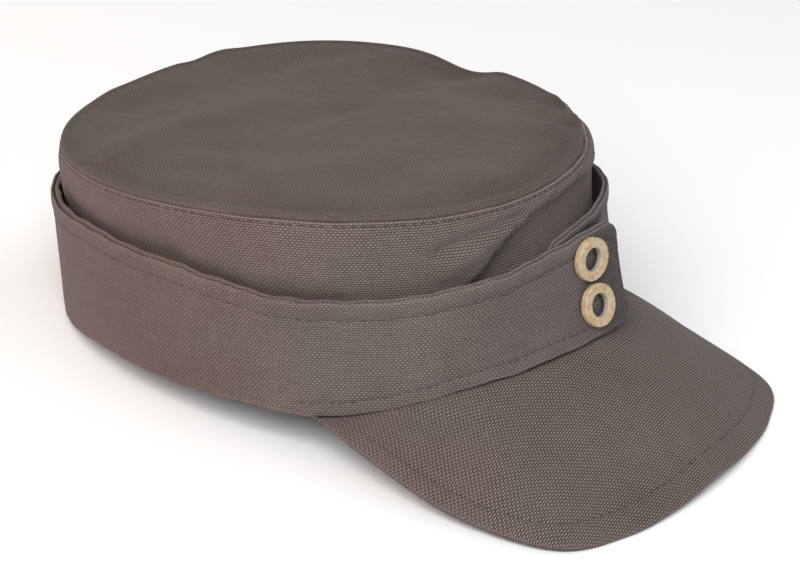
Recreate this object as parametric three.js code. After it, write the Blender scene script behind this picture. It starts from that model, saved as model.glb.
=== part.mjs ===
// A cloth peaked mountain cap: an oval crown, a turned-up double-cloth flap whose ends lap over
// each other at the front under two ring buttons, and a short arched peak.
// Millimetres. The cap is shaped upright in its own frame (+X forward, +Y to the wearer's left,
// +Z up, with the head opening's rim near height 0) and then laid back into the way it rests on a
// table: on the back of its rim and on the two corners of its peak.
import * as THREE from 'three';
import { mergeVertices } from 'three/addons/utils/BufferGeometryUtils.js';

// ---------------------------------------------------------------- driving dimensions

// Ovals seen from above, on the outside of the crown wall.
// power 2 is an ellipse, egg is how much wider the front is than the back, shift is forward.
const RIM = { halfLength: 100, halfWidth: 84, power: 2.11, egg: -0.01, shift: 0 };
const SEAM = { halfLength: 90, halfWidth: 85, power: 2.19, egg: -0.05, shift: -3.4 };

const WALL_THICKNESS = 1.7;
const TOP_THICKNESS = 1.4;
const FLAP_THICKNESS = 1.8;
const PEAK_THICKNESS = 3.0;
const SEAM_GAP = 0.3; // between two pieces that are sewn or stacked

const SEAM_HEIGHT = 64; // crown wall's upper edge above the rim
const SEAM_SLOPE = -0.026; // height lost per millimetre forward
const TOP_DOME = 1.6; // how far the top panel rises inside its edge
const TOP_DOME_WIDTH = 14;

// Crown wall: one row every 60 degrees round the head, 0 is the front.
// rim: height of the lower edge, seam: wave of the upper edge, belly: outward bulge in between
const WALL_ROWS = [
  { azimuth: -180, rim: -0.4, seam: -1.2, belly: 2.0 },
  { azimuth: -120, rim: 1.6, seam: -2.0, belly: 1.5 },
  { azimuth: -60, rim: -1.0, seam: -1.2, belly: 2.2 },
  { azimuth: 0, rim: 4.0, seam: -1.8, belly: 2.0 },
  { azimuth: 60, rim: -0.6, seam: 1.7, belly: 6.0 },
  { azimuth: 120, rim: 0.4, seam: 3.6, belly: 2.0 },
];
const WALL_TUCK = 1.3; // the lower edge is drawn in this far behind the flap
// Shares of the wall's height where the bulge starts and where it is full.
const BELLY = { from: 0.48, full: 0.84 };

// Creases pressed into the crown wall, each a line on the unrolled wall.
// from, to: azimuth in degrees; fromZ, toZ: height; depth inward; width of the hollow
const WALL_CREASES = [
  { from: -30, fromZ: 36, to: -9, toZ: 48, depth: 3.4, width: 6 },
  { from: -9, fromZ: 48, to: 32, toZ: 45, depth: 2.6, width: 8 },
  { from: -40, fromZ: 47, to: -17, toZ: 57, depth: 1.2, width: 4 },
  { from: 66, fromZ: 66, to: 86, toZ: 52, depth: 2.4, width: 8 },
  { from: 128, fromZ: 60, to: 150, toZ: 50, depth: 1.4, width: 9 },
  { from: -128, fromZ: 52, to: -108, toZ: 58, depth: 1.0, width: 8 },
];

// Soft ridges that run across the top panel. x, y: middle; turn: degrees off the Y axis.
const TOP_RIDGES = [
  { x: -50, y: -6, turn: -10, length: 56, width: 9, height: 1.1 },
  { x: -27, y: 42, turn: -8, length: 34, width: 8, height: 0.9 },
  { x: 3, y: 28, turn: -20, length: 24, width: 7, height: 0.6 },
  { x: 36, y: -22, turn: 24, length: 40, width: 12, height: 0.6 },
];
const TOP_DENT = { x: 4, y: 76, width: 14, depth: 5.2 }; // where the seam has sunk a little

// Flap: one row for each section along the strip, which starts under the lap at the front, runs
// round the wearer's left, the back and the right, and ends as the tab over its own beginning.
// low, high: heights of the two edges; out, lean: how far the outer face of the lower and the
// upper edge stands outside the rim oval
const FLAP_ROWS = [
  { along: -8, low: 7.6, high: 45.4, out: 1.5, lean: -4.0 },
  { along: 4, low: 7.6, high: 46.2, out: 1.7, lean: -4.2 },
  { along: 15, low: 6.5, high: 46.4, out: 2.4, lean: -3.4 },
  { along: 30, low: 3.4, high: 45.6, out: 3.4, lean: -0.4 },
  { along: 60, low: -1.9, high: 43.1, out: 4.0, lean: 4.4 },
  { along: 90, low: -0.6, high: 42.1, out: 3.2, lean: 5.0 },
  { along: 120, low: 0.1, high: 42.1, out: 2.2, lean: 4.7 },
  { along: 150, low: -0.2, high: 42.0, out: 1.7, lean: 4.2 },
  { along: 180, low: -0.6, high: 42.4, out: 1.6, lean: 3.8 },
  { along: 210, low: -0.7, high: 44.6, out: 1.5, lean: 3.8 },
  { along: 240, low: 1.4, high: 46.8, out: 1.9, lean: 5.2 },
  { along: 270, low: -1.2, high: 43.7, out: 3.2, lean: 4.6 },
  { along: 300, low: -3.6, high: 35.3, out: 4.8, lean: 3.6 },
  { along: 330, low: 4.4, high: 38.1, out: 4.4, lean: 1.4 },
  { along: 345, low: 6.8, high: 41.0, out: 3.9, lean: -0.4 },
  { along: 353, low: 7.2, high: 42.4, out: 4.0, lean: -1.0 },
  { along: 361, low: 7.4, high: 43.4, out: 5.8, lean: 0.6 },
  { along: 367, low: 7.3, high: 43.6, out: 7.7, lean: 2.6 },
  { along: 372, low: 7.2, high: 43.6, out: 9.4, lean: 4.3 },
];
const FLAP_FLARE = 1.7; // above 1 the flap is upright and only kicks out near its lower edge
const FLAP_LIP = { share: 0.75, out: 1.0 }; // above this share the upper edge curls outward
const FLAP_CORNER = { start: 6, end: 8.5, lower: 6 }; // radii of the strip's corners

// Peak: half of its outline, one row every 10 degrees from the centre line.
// reach: distance of the edge from the middle of the head opening; drop: height of the edge
const PEAK_ROWS = [
  { azimuth: 0, reach: 152.7, drop: -33.6 },
  { azimuth: 10, reach: 153.4, drop: -35.0 },
  { azimuth: 20, reach: 155.0, drop: -35.4 },
  { azimuth: 30, reach: 154.2, drop: -32.3 },
  { azimuth: 40, reach: 134.8, drop: -25.2 },
  { azimuth: 50, reach: 114.0, drop: -13.8 },
  { azimuth: 59, reach: 97.0, drop: -5.8 },
  { azimuth: 61.5, reach: 93.0, drop: -4.4 },
];
const PEAK_SPREAD = 61.5; // degrees from the centre line to each end
const PEAK_SAG = { azimuth: 35, width: 13, drop: 1.5 }; // the left corner has settled lower
const PEAK_UNDER_FLAP = 1.0; // drop from the flap's lower edge to the peak beneath it
const PEAK_ROOT_OUT = 0.35; // between the crown wall and the peak's root
const PEAK_BOW = 1.4; // how much the peak is rounded between its root and its edge
const PEAK_SHARES = [0, 0.09, 0.2, 0.34, 0.48, 0.62, 0.76, 0.88]; // steps from root to edge
// Rounding of the edge: share of the way from the root, depth below the upper face.
const PEAK_ROUND = [
  { share: 0.965, depth: 0.1 },
  { share: 0.992, depth: 0.5 },
  { share: 1, depth: 1.5 },
];

// Ring buttons, sewn to the lap one above the other by a knot of thread in the hole.
const BUTTON = { radius: 7.5, hole: 3.6, thickness: 3.0 };
const THREAD = { radius: 3.25, thickness: 1.0 };
const BUTTON_ALONG = 360.7; // place along the flap
const BUTTON_TURN = 4; // degrees the rings sit turned to the wearer's right on their thread
const BUTTON_HEIGHTS = [
  { button: 'button_upper', thread: 'thread_upper', height: 35.2 },
  { button: 'button_lower', thread: 'thread_lower', height: 18.8 },
];
// Half section of a ring. fromHole, fromRim: distance from the hole's or the rim's radius;
// level: share of half the thickness, the cloth side is negative.
const BUTTON_SECTION = [
  { fromHole: 0, level: -0.75 },
  { fromHole: 0.4, level: -1 },
  { fromRim: 1.1, level: -1 },
  { fromRim: 0.25, level: -0.7 },
  { fromRim: 0, level: 0 },
  { fromRim: 0.25, level: 0.65 },
  { fromRim: 1.1, level: 1 },
  { fromHole: 1.6, level: 1 },
  { fromHole: 0.5, level: 0.65 },
  { fromHole: 0, level: 0.25 },
];

// Rest: nose-up tilt, height of the rim's middle above the table after the cloth has settled,
// and how far forward of the origin that middle lies.
const REST_TILT = 8.3;
const REST_LIFT = 13.8;
const REST_BACK = -23.1;
const REST_SIDE = -0.2;

const CLOTH = { wall: 0x746762, top: 0x6b5f5c, flap: 0x77655d, peak: 0x6f635f, roughness: 0.95 };
const BUTTON_COLOR = 0xd3b98c;
const THREAD_COLOR = 0x4b443d;

// Mesh fineness
const AROUND = 84;
const WALL_STEPS = 9;
const TOP_RINGS = 7;
const FLAP_STEPS = 7;
const FLAP_END_STEPS = [0, 0.25, 0.8, 1.8, 3.2]; // degrees from each end, close where the corner is
const PEAK_AROUND = 40;
const BUTTON_SIDES = 24;
const THREAD_SIDES = 16;
const PEAK_CROWDING = 1.43; // radians of a sine that sets the sections closer near the peak's ends

// ---------------------------------------------------------------- small tools

const radians = THREE.MathUtils.degToRad;
const mix = THREE.MathUtils.lerp;

// A smooth curve through the rows of a table: value of one column at any place along another.
// With a period the table closes on itself.
function through(rows, placeColumn, valueColumn, period = 0) {
  const knots = rows.map((row) => [row[placeColumn], row[valueColumn]]);
  if (period) {
    const [first, second] = knots;
    const [before, last] = knots.slice(-2);
    knots.unshift([before[0] - period, before[1]], [last[0] - period, last[1]]);
    knots.push([first[0] + period, first[1]], [second[0] + period, second[1]]);
  }
  const slope = (i) => {
    const a = knots[Math.max(i - 1, 0)];
    const b = knots[Math.min(i + 1, knots.length - 1)];
    return (b[1] - a[1]) / (b[0] - a[0]);
  };
  const start = period ? knots[2][0] : 0;
  return (place) => {
    const p = period ? start + ((((place - start) % period) + period) % period) : place;
    let i = 0;
    while (i < knots.length - 2 && p > knots[i + 1][0]) i += 1;
    const [x0, y0] = knots[i];
    const [x1, y1] = knots[i + 1];
    const span = x1 - x0;
    const t = THREE.MathUtils.clamp((p - x0) / span, 0, 1);
    const rise = y1 - y0;
    const bend0 = slope(i) * span - rise;
    const bend1 = -slope(i + 1) * span + rise;
    return mix(y0, y1, t) + t * (1 - t) * mix(bend0, bend1, t);
  };
}

// A point on an oval at an azimuth in degrees, pushed outward square to the oval.
function ovalPoint(oval, azimuth, outward = 0) {
  const at = (angle) => {
    const c = Math.cos(radians(angle));
    const s = Math.sin(radians(angle));
    const reach = (Math.abs(c / oval.halfLength) ** oval.power
      + Math.abs(s / oval.halfWidth) ** oval.power) ** (-1 / oval.power);
    const x = reach * c;
    return new THREE.Vector2(x + oval.shift, reach * s * (1 + (oval.egg * x) / oval.halfLength));
  };
  const along = at(azimuth + 0.5).sub(at(azimuth - 0.5)).normalize();
  return at(azimuth).add(new THREE.Vector2(along.y, -along.x).multiplyScalar(outward));
}

// Distance from a point to a segment, both in the plane.
function distanceToLine(point, from, to) {
  const line = to.clone().sub(from);
  const share = point.clone().sub(from).dot(line) / line.lengthSq();
  return point.distanceTo(from.clone().addScaledVector(line, THREE.MathUtils.clamp(share, 0, 1)));
}

const bell = (distance, width) => Math.exp(-((distance / width) ** 2));
const ease = (t) => t * t * (3 - 2 * t);

// Lays an upright point back into the resting pose. Cloth that would reach below the table is
// flattened onto it.
function toRest(point) {
  const tilt = radians(REST_TILT);
  return new THREE.Vector3(
    point.x * Math.cos(tilt) - point.z * Math.sin(tilt) + REST_BACK,
    point.y + REST_SIDE,
    Math.max(point.x * Math.sin(tilt) + point.z * Math.cos(tilt) + REST_LIFT, 0),
  );
}

// Joins neighbouring sections into one closed body. Every section is a closed loop of points,
// and its second half is the mirror of its first, so an open end is capped across the loop.
// endsMeet joins the last section to the first. Loops that pinch to one point stay closed.
function loft(sections, endsMeet) {
  const count = sections[0].length;
  const positions = sections.flat().flatMap((point) => point.toArray());
  const indices = [];
  const quad = (a, b, c, d) => indices.push(a, b, c, a, c, d);
  const stretches = endsMeet ? sections.length : sections.length - 1;
  for (let i = 0; i < stretches; i += 1) {
    const next = (i + 1) % sections.length;
    for (let j = 0; j < count; j += 1) {
      const k = (j + 1) % count;
      quad(i * count + j, next * count + j, next * count + k, i * count + k);
    }
  }
  if (!endsMeet) {
    const last = (sections.length - 1) * count;
    for (let j = 0; j < count / 2 - 1; j += 1) {
      const far = count - 1 - j;
      quad(j, j + 1, far - 1, far);
      quad(last + j + 1, last + j, last + far, last + far - 1);
    }
  }
  const raw = new THREE.BufferGeometry();
  raw.setAttribute('position', new THREE.Float32BufferAttribute(positions, 3));
  raw.setIndex(indices);
  return outward(withoutSlivers(mergeVertices(raw, 1e-4)));
}

// Drops triangles that use one point twice.
function withoutSlivers(geometry) {
  const kept = [];
  const index = geometry.index.array;
  for (let i = 0; i < index.length; i += 3) {
    const [a, b, c] = index.slice(i, i + 3);
    if (a !== b && b !== c && c !== a) kept.push(a, b, c);
  }
  geometry.setIndex(kept);
  return geometry;
}

// Turns the faces outward: a closed body with outward faces has a positive volume.
function outward(geometry) {
  const position = geometry.attributes.position;
  const index = geometry.index.array;
  const corner = (i) => new THREE.Vector3().fromBufferAttribute(position, index[i]);
  let volume = 0;
  for (let i = 0; i < index.length; i += 3) {
    volume += corner(i).dot(corner(i + 1).cross(corner(i + 2))) / 6;
  }
  if (volume < 0) geometry.setIndex(Array.from(index).reverse());
  geometry.computeVertexNormals();
  return geometry;
}

const evenly = (from, to, steps) => Array.from(
  { length: steps + 1 },
  (_, i) => mix(from, to, i / steps),
);
function named(name, geometry, color, roughness) {
  const material = new THREE.MeshStandardMaterial({ color, roughness, metalness: 0 });
  const mesh = new THREE.Mesh(geometry, material);
  mesh.name = name;
  return mesh;
}

// ---------------------------------------------------------------- crown

const wallRim = through(WALL_ROWS, 'azimuth', 'rim', 360);
const wallWave = through(WALL_ROWS, 'azimuth', 'seam', 360);
const wallBelly = through(WALL_ROWS, 'azimuth', 'belly', 360);

const seamHeight = (azimuth) => {
  const spot = ovalPoint(SEAM, azimuth);
  const dent = TOP_DENT.depth * bell(
    Math.hypot(spot.x - TOP_DENT.x, spot.y - TOP_DENT.y),
    TOP_DENT.width,
  );
  return SEAM_HEIGHT + SEAM_SLOPE * spot.x + wallWave(azimuth) - dent;
};

// Outer face of the crown wall; share runs from 0 at the rim to 1 at the seam.
function wallPoint(azimuth, share, inset = 0) {
  const height = mix(wallRim(azimuth), seamHeight(azimuth), share);
  const rising = ease(THREE.MathUtils.clamp((share - BELLY.from) / (BELLY.full - BELLY.from), 0, 1));
  const over = Math.max(share - BELLY.full, 0) / (1 - BELLY.full);
  let bulge = wallBelly(azimuth) * rising * Math.sqrt(1 - over ** 2) - WALL_TUCK * (1 - share);
  const meanRadius = (RIM.halfLength + RIM.halfWidth) / 2;
  const unrolled = (angle, z) => new THREE.Vector2(radians(angle) * meanRadius, z);
  for (const crease of WALL_CREASES) {
    const nearest = ((azimuth - crease.from + 540) % 360) - 180 + crease.from;
    const distance = distanceToLine(
      unrolled(nearest, height),
      unrolled(crease.from, crease.fromZ),
      unrolled(crease.to, crease.toZ),
    );
    bulge -= crease.depth * bell(distance, crease.width) * (1 - share ** 6);
  }
  const low = ovalPoint(RIM, azimuth, bulge - inset);
  const high = ovalPoint(SEAM, azimuth, bulge - inset);
  return new THREE.Vector3(mix(low.x, high.x, share), mix(low.y, high.y, share), height);
}

function crownWall() {
  const shares = evenly(0, 1, WALL_STEPS).map((t) => t ** 0.9);
  const sections = evenly(-180, 180, AROUND).slice(0, -1).map((azimuth) => [
    ...shares.map((share) => wallPoint(azimuth, share)),
    ...shares.toReversed().map((share) => wallPoint(azimuth, share, WALL_THICKNESS)),
  ].map(toRest));
  return loft(sections, true);
}

// Height of the top panel's upper face at a point inside the seam.
function topHeight(x, y, edgeHeight, inward) {
  let height = edgeHeight + TOP_DOME * ease(Math.min(inward / TOP_DOME_WIDTH, 1));
  for (const ridge of TOP_RIDGES) {
    const turn = radians(ridge.turn);
    const half = new THREE.Vector2(-Math.sin(turn), Math.cos(turn)).multiplyScalar(ridge.length / 2);
    const middle = new THREE.Vector2(ridge.x, ridge.y);
    const distance = distanceToLine(
      new THREE.Vector2(x, y),
      middle.clone().sub(half),
      middle.clone().add(half),
    );
    height += ridge.height * bell(distance, ridge.width) * ease(Math.min(inward / 10, 1));
  }
  const fromDent = Math.hypot(x - TOP_DENT.x, y - TOP_DENT.y);
  height -= 0.6 * TOP_DENT.depth * bell(fromDent, TOP_DENT.width) * Math.min(inward / 10, 1);
  return height;
}

function crownTop() {
  const rings = evenly(0, 1, TOP_RINGS).map((t) => 1 - (1 - t) ** 1.6);
  const middleHeight = SEAM_HEIGHT + SEAM_GAP + TOP_THICKNESS + SEAM_SLOPE * SEAM.shift;
  const sections = evenly(-180, 180, AROUND).slice(0, -1).map((azimuth) => {
    const edge = ovalPoint(SEAM, azimuth);
    const edgeHeight = seamHeight(azimuth) + SEAM_GAP + TOP_THICKNESS;
    const face = rings.map((ring) => {
      const x = mix(SEAM.shift, edge.x, ring);
      const y = edge.y * ring;
      const inward = (1 - ring) * Math.hypot(edge.x - SEAM.shift, edge.y);
      const plane = mix(middleHeight, edgeHeight, ring * ring);
      return new THREE.Vector3(x, y, topHeight(x, y, plane, inward));
    });
    const under = face.map((point) => point.clone().setZ(point.z - TOP_THICKNESS));
    return [...face, ...under.reverse()].map(toRest);
  });
  return loft(sections, true);
}

// ---------------------------------------------------------------- flap

const flapLow = through(FLAP_ROWS, 'along', 'low');
const flapHigh = through(FLAP_ROWS, 'along', 'high');
const flapOut = through(FLAP_ROWS, 'along', 'out');
const flapLean = through(FLAP_ROWS, 'along', 'lean');
const FLAP_START = FLAP_ROWS[0].along;
const FLAP_END = FLAP_ROWS[FLAP_ROWS.length - 1].along;

// How much a round corner takes off an edge, at a distance from the end of the strip.
const cornerCut = (radius, fromEnd) => (fromEnd < radius
  ? radius - Math.sqrt(radius ** 2 - (radius - fromEnd) ** 2)
  : 0);

// How far up the uncut strip a height lies, 0 at its lower edge and 1 at its upper one.
const flapShare = (along, height) => (
  (height - flapLow(along)) / (flapHigh(along) - flapLow(along))
);

// Outer face of the flap; along in degrees as in FLAP_ROWS, share from 0 low to 1 high.
function flapPoint(along, share, inset = 0) {
  const perDegree = radians(1) * RIM.halfLength;
  const fromStart = (along - FLAP_START) * perDegree;
  const fromEnd = (FLAP_END - along) * perDegree;
  const high = flapHigh(along) - cornerCut(FLAP_CORNER.start, fromStart)
    - cornerCut(FLAP_CORNER.end, fromEnd);
  const low = flapLow(along) + cornerCut(FLAP_CORNER.lower, fromStart)
    + cornerCut(FLAP_CORNER.lower, fromEnd);
  const height = mix(low, high, share);
  const full = THREE.MathUtils.clamp(flapShare(along, height), 0, 1);
  const curl = ease(Math.max(full - FLAP_LIP.share, 0) / (1 - FLAP_LIP.share));
  const stand = mix(flapLean(along), flapOut(along), (1 - full) ** FLAP_FLARE)
    - FLAP_LIP.out * (1 - curl) * full;
  const spot = ovalPoint(RIM, along, stand - inset);
  return new THREE.Vector3(spot.x, spot.y, height);
}

function flap() {
  const shares = evenly(0, 1, FLAP_STEPS);
  const places = [
    ...FLAP_END_STEPS.map((step) => FLAP_START + step),
    ...evenly(FLAP_START + 5, FLAP_END - 5, AROUND - 8),
    ...FLAP_END_STEPS.toReversed().map((step) => FLAP_END - step),
  ];
  const sections = places.map((along) => [
    ...shares.map((share) => flapPoint(along, share)),
    ...shares.toReversed().map((share) => flapPoint(along, share, FLAP_THICKNESS)),
  ].map(toRest));
  return loft(sections, false);
}

// ---------------------------------------------------------------- peak

const mirroredPeak = [
  ...PEAK_ROWS.slice(1).reverse().map((row) => ({ ...row, azimuth: -row.azimuth })),
  ...PEAK_ROWS,
];
const peakReach = through(mirroredPeak, 'azimuth', 'reach');
const peakDrop = through(mirroredPeak, 'azimuth', 'drop');

// Height of the line where the peak passes under the flap, the same on both sides.
const peakLine = (azimuth) => {
  const side = Math.abs(azimuth);
  return flapLow(360 - side) - PEAK_UNDER_FLAP;
};

// Upper face of the peak; share 0 is the root against the crown wall, 1 is the edge.
function peakTop(azimuth, share) {
  const root = ovalPoint(RIM, azimuth, PEAK_ROOT_OUT);
  const rim = ovalPoint(RIM, azimuth, flapOut(360 - Math.abs(azimuth)));
  const reach = peakReach(azimuth);
  const edge = new THREE.Vector2(Math.cos(radians(azimuth)), Math.sin(radians(azimuth)))
    .multiplyScalar(reach);
  const spot = root.clone().lerp(edge, share);
  const full = root.distanceTo(edge);
  const underFlap = rim.distanceTo(root) / full;
  const beyond = (share - underFlap) / (1 - underFlap);
  const sag = PEAK_SAG.drop * bell(azimuth - PEAK_SAG.azimuth, PEAK_SAG.width);
  const edgeHeight = peakDrop(azimuth) - sag + PEAK_THICKNESS / 2;
  const bow = PEAK_BOW * (1 - (azimuth / PEAK_SPREAD) ** 4);
  const height = beyond < 0
    ? peakLine(azimuth)
    : mix(peakLine(azimuth), edgeHeight, beyond) + bow * 4 * beyond * (1 - beyond);
  return new THREE.Vector3(spot.x, spot.y, height);
}

// A point of the peak below its upper face, square to it.
function peakPoint(azimuth, share, depth) {
  const step = 0.01;
  const point = peakTop(azimuth, share);
  const outwardStep = peakTop(azimuth, share + step).sub(peakTop(azimuth, share - step));
  const sideStep = peakTop(azimuth + 1, share).sub(peakTop(azimuth - 1, share));
  const normal = outwardStep.cross(sideStep).normalize();
  return point.addScaledVector(normal, -depth * Math.sign(normal.z));
}

function peak() {
  const flat = PEAK_SHARES.map((share) => ({ share, depth: 0 }));
  const profile = [...flat, ...PEAK_ROUND];
  const crowd = (t) => Math.sin(t * PEAK_CROWDING) / Math.sin(PEAK_CROWDING);
  const sections = evenly(-1, 1, PEAK_AROUND).map((t) => {
    const azimuth = PEAK_SPREAD * crowd(t);
    const upper = profile.map((row) => peakPoint(azimuth, row.share, row.depth));
    const lower = profile.toReversed()
      .map((row) => peakPoint(azimuth, row.share, PEAK_THICKNESS - row.depth));
    return [...upper, ...lower].map(toRest);
  });
  return loft(sections, false);
}

// ---------------------------------------------------------------- buttons

function buttonGeometry() {
  const points = BUTTON_SECTION.map((row) => new THREE.Vector2(
    'fromHole' in row ? BUTTON.hole + row.fromHole : BUTTON.radius - row.fromRim,
    (row.level * BUTTON.thickness) / 2,
  ));
  return turned([...points, points[0].clone()], BUTTON_SIDES);
}

// The knot of thread: a flat pad with a rounded crown.
function threadGeometry() {
  const { radius, thickness } = THREAD;
  return turned([
    new THREE.Vector2(0, -thickness / 2),
    new THREE.Vector2(radius, -thickness / 2),
    new THREE.Vector2(radius, thickness / 5),
    new THREE.Vector2(radius * 0.6, thickness / 2),
    new THREE.Vector2(0, thickness / 2),
  ], THREAD_SIDES);
}

// Turns a half section round the Z axis and welds it into one closed body.
function turned(points, sides) {
  const geometry = new THREE.LatheGeometry(points, sides).rotateX(Math.PI / 2);
  geometry.deleteAttribute('normal');
  geometry.deleteAttribute('uv');
  return outward(withoutSlivers(mergeVertices(geometry, 1e-4)));
}

// Seat on the outer face of the lap: a point at a height and the direction square to the cloth.
function lapSeat(height) {
  const share = flapShare(BUTTON_ALONG, height);
  const at = (turn, rise) => toRest(flapPoint(BUTTON_ALONG + turn, share + rise));
  const across = at(2, 0).sub(at(-2, 0));
  const upward = at(0, 0.12).sub(at(0, -0.12));
  return { point: at(0, 0), normal: across.cross(upward).normalize() };
}

// Stands a turned piece on the lap, its middle `lift` above the cloth.
function seatOnLap(mesh, height, lift) {
  const { point, normal } = lapSeat(height);
  const upright = new THREE.Vector3(0, 0, 1);
  const facing = normal.clone().applyAxisAngle(upright, -radians(BUTTON_TURN));
  mesh.position.copy(point).addScaledVector(normal, lift);
  mesh.quaternion.setFromUnitVectors(upright, facing);
  return mesh;
}

// ---------------------------------------------------------------- assembly

const cap = new THREE.Group();
cap.add(named('crown_wall', crownWall(), CLOTH.wall, CLOTH.roughness));
cap.add(named('crown_top', crownTop(), CLOTH.top, CLOTH.roughness));
cap.add(named('flap', flap(), CLOTH.flap, CLOTH.roughness));
cap.add(named('peak', peak(), CLOTH.peak, CLOTH.roughness));

const tipped = BUTTON.radius * Math.sin(radians(BUTTON_TURN));
const buttonLift = SEAM_GAP + BUTTON.thickness / 2 + tipped;
const threadLift = SEAM_GAP + THREAD.thickness / 2;
for (const row of BUTTON_HEIGHTS) {
  const button = named(row.button, buttonGeometry(), BUTTON_COLOR, 0.5);
  const thread = named(row.thread, threadGeometry(), THREAD_COLOR, 0.9);
  cap.add(seatOnLap(button, row.height, buttonLift));
  cap.add(seatOnLap(thread, row.height, threadLift));
}

export default cap;
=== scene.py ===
"""Cloth peaked mountain cap: cloth, stitching, ring buttons and stage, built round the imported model.

The shapes are worked out in millimetres in the cap's own upright frame (+X forward, +Y to the
wearer's left, +Z up, the rim near height 0), then laid back into the way the cap rests on a table.
"""
import math

import bmesh
import bpy
import numpy as np
from bpy.props import FloatProperty, FloatVectorProperty, IntProperty, PointerProperty
from mathutils import Matrix, Vector


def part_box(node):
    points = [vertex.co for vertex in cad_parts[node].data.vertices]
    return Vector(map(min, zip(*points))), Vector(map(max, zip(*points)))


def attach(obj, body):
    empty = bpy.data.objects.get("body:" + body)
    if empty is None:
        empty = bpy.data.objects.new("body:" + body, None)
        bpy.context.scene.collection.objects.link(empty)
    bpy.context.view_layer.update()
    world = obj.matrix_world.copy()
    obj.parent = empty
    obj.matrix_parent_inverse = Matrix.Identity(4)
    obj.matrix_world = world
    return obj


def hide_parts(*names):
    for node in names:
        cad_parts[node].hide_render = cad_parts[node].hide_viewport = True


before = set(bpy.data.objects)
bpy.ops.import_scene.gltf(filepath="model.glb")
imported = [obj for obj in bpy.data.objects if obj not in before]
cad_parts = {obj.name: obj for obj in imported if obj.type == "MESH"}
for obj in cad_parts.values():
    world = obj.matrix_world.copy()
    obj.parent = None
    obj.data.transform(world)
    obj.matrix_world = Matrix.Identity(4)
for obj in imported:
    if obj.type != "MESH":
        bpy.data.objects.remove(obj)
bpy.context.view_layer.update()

bl_info = {
    "name": "Mountain cap",
    "version": (1, 0, 0),
    "blender": (4, 5, 0),
    "location": "View3D > Sidebar > Cap",
    "description": "Builds a cloth peaked cap with a turned-up flap and ring buttons",
    "category": "Object",
}

MM = 0.001
BODY = "root"


# ---------------------------------------------------------------- driving shapes


def table(columns, *rows):
    """A short table: one array for each named column."""
    return dict(zip(columns.split(), np.array(rows, float).T))


# Ovals seen from above: half length, half width, power (2 is an ellipse), how much wider the
# front is than the back, and how far forward the middle lies.
RIM = {"length": 100.0, "width": 84.0, "power": 2.11, "egg": -0.01, "shift": 0.0}
SEAM = {"length": 90.0, "width": 85.0, "power": 2.19, "egg": -0.05, "shift": -3.4}

SEAM_HEIGHT = 64.0
SEAM_SLOPE = -0.026  # the seam falls a little towards the front
TOP_DOME = {"rise": 1.6, "width": 14.0}
# Round the crown: how far the rim and the seam rise above their planes, and the wall's bulge.
WALL = table(
    "azimuth rim seam belly",
    (-180, -0.4, -1.2, 2.0),
    (-120, 1.6, -2.0, 1.5),
    (-60, -1.0, -1.2, 2.2),
    (0, 4.0, -1.8, 2.0),
    (60, -0.6, 1.7, 6.0),
    (120, 0.4, 3.6, 2.0),
)
WALL_TUCK = 1.3  # how far the rim is drawn in
WALL_TOP_ROUND = 0.1
# Shares of the wall's height between which the bulge grows.
BELLY_FROM = 0.48
BELLY_FULL = 0.84
# Creases on the crown wall: azimuth and height of both ends, depth inward (outward where it is
# negative), and how far each reaches above and below its line.
WALL_CREASES = table(
    "start start_z end end_z depth above below",
    (-28, 20, -24, 34, 5.0, 2.6, 12),
    (-24, 34, -20, 42, 5.2, 2.6, 14),
    (-20, 42, -8.5, 50.5, 5.4, 2.6, 16),
    (-8.5, 50.5, 14, 53, 5.2, 3, 16),
    (14, 53, 40, 47, 2.6, 5, 12),
    (-34, 50, -24, 52.8, 2.2, 1.5, 2.6),
    (-24, 52.8, -12, 55, 2.4, 1.5, 2.6),
    (-33, 42, -20, 50.5, -1.1, 3, 3),
    (-23.5, 61, -21.5, 58, 1.1, 1.6, 1.6),
    (-30, 62, -31, 57, -0.5, 2, 2),
    (-135, 42, -95, 40, 4.0, 10, 14),
    (-95, 40, -78, 34, 3.0, 7, 12),
    (-78, 34, -56, 31, 2.0, 6, 12),
    (66, 66, 86, 52, 2.4, 8, 8),
    (128, 60, 150, 50, 1.4, 9, 9),
)
CREASE_HOLD = 14  # power with which the stitched seam holds the creases back
# Lumps where the crown seam is gathered.
SEAM_LUMPS = table(
    "azimuth width lift",
    (33, 2.5, -0.7),
    (38, 3.0, 1.0),
    (46, 2.5, -0.8),
    (52, 3.0, 0.7),
    (74, 4.0, 0.6),
    (150, 4.0, 0.8),
    (158, 3.0, -0.6),
    (-176, 5.0, 0.5),
    (-70, 6.0, 0.3),
)
# Soft ridges and hollows across the top panel: middle, turn from the Y axis, length, width,
# height (below 0 for a hollow).
TOP_RIDGES = table(
    "x y turn length width height",
    (-47, -46, -8, 50, 9, 1.6),
    (-36, -8, -12, 34, 8, 1.2),
    (-62, 12, -20, 70, 10, -1.0),
    (-25, 62, -35, 40, 9, 1.3),
    (-7, 8, -25, 24, 7, -1.2),
    (-6, -36, -70, 30, 9, -1.1),
    (-12, -62, -70, 18, 7, -0.8),
    (50, 28, -70, 26, 10, 1.2),
    (18, 52, -80, 44, 8, -1.3),
    (26, -30, -30, 50, 11, 0.8),
)
# Painted shade that darkens the rim of the top panel, by azimuth round the cap.
TOP_RIM_PAINTED_SHADE = table(
    "azimuth tone",
    (-180, -0.32),
    (-130, -0.2),
    (-90, -0.04),
    (-45, -0.06),
    (0, -0.3),
    (60, -0.3),
    (120, -0.34),
)
LUMP_REACH = 7.0  # how far the seam's lumps reach into the top panel
TOP_DENT = {"x": 4.0, "y": 76.0, "width": 14.0, "depth": 5.2}

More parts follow.
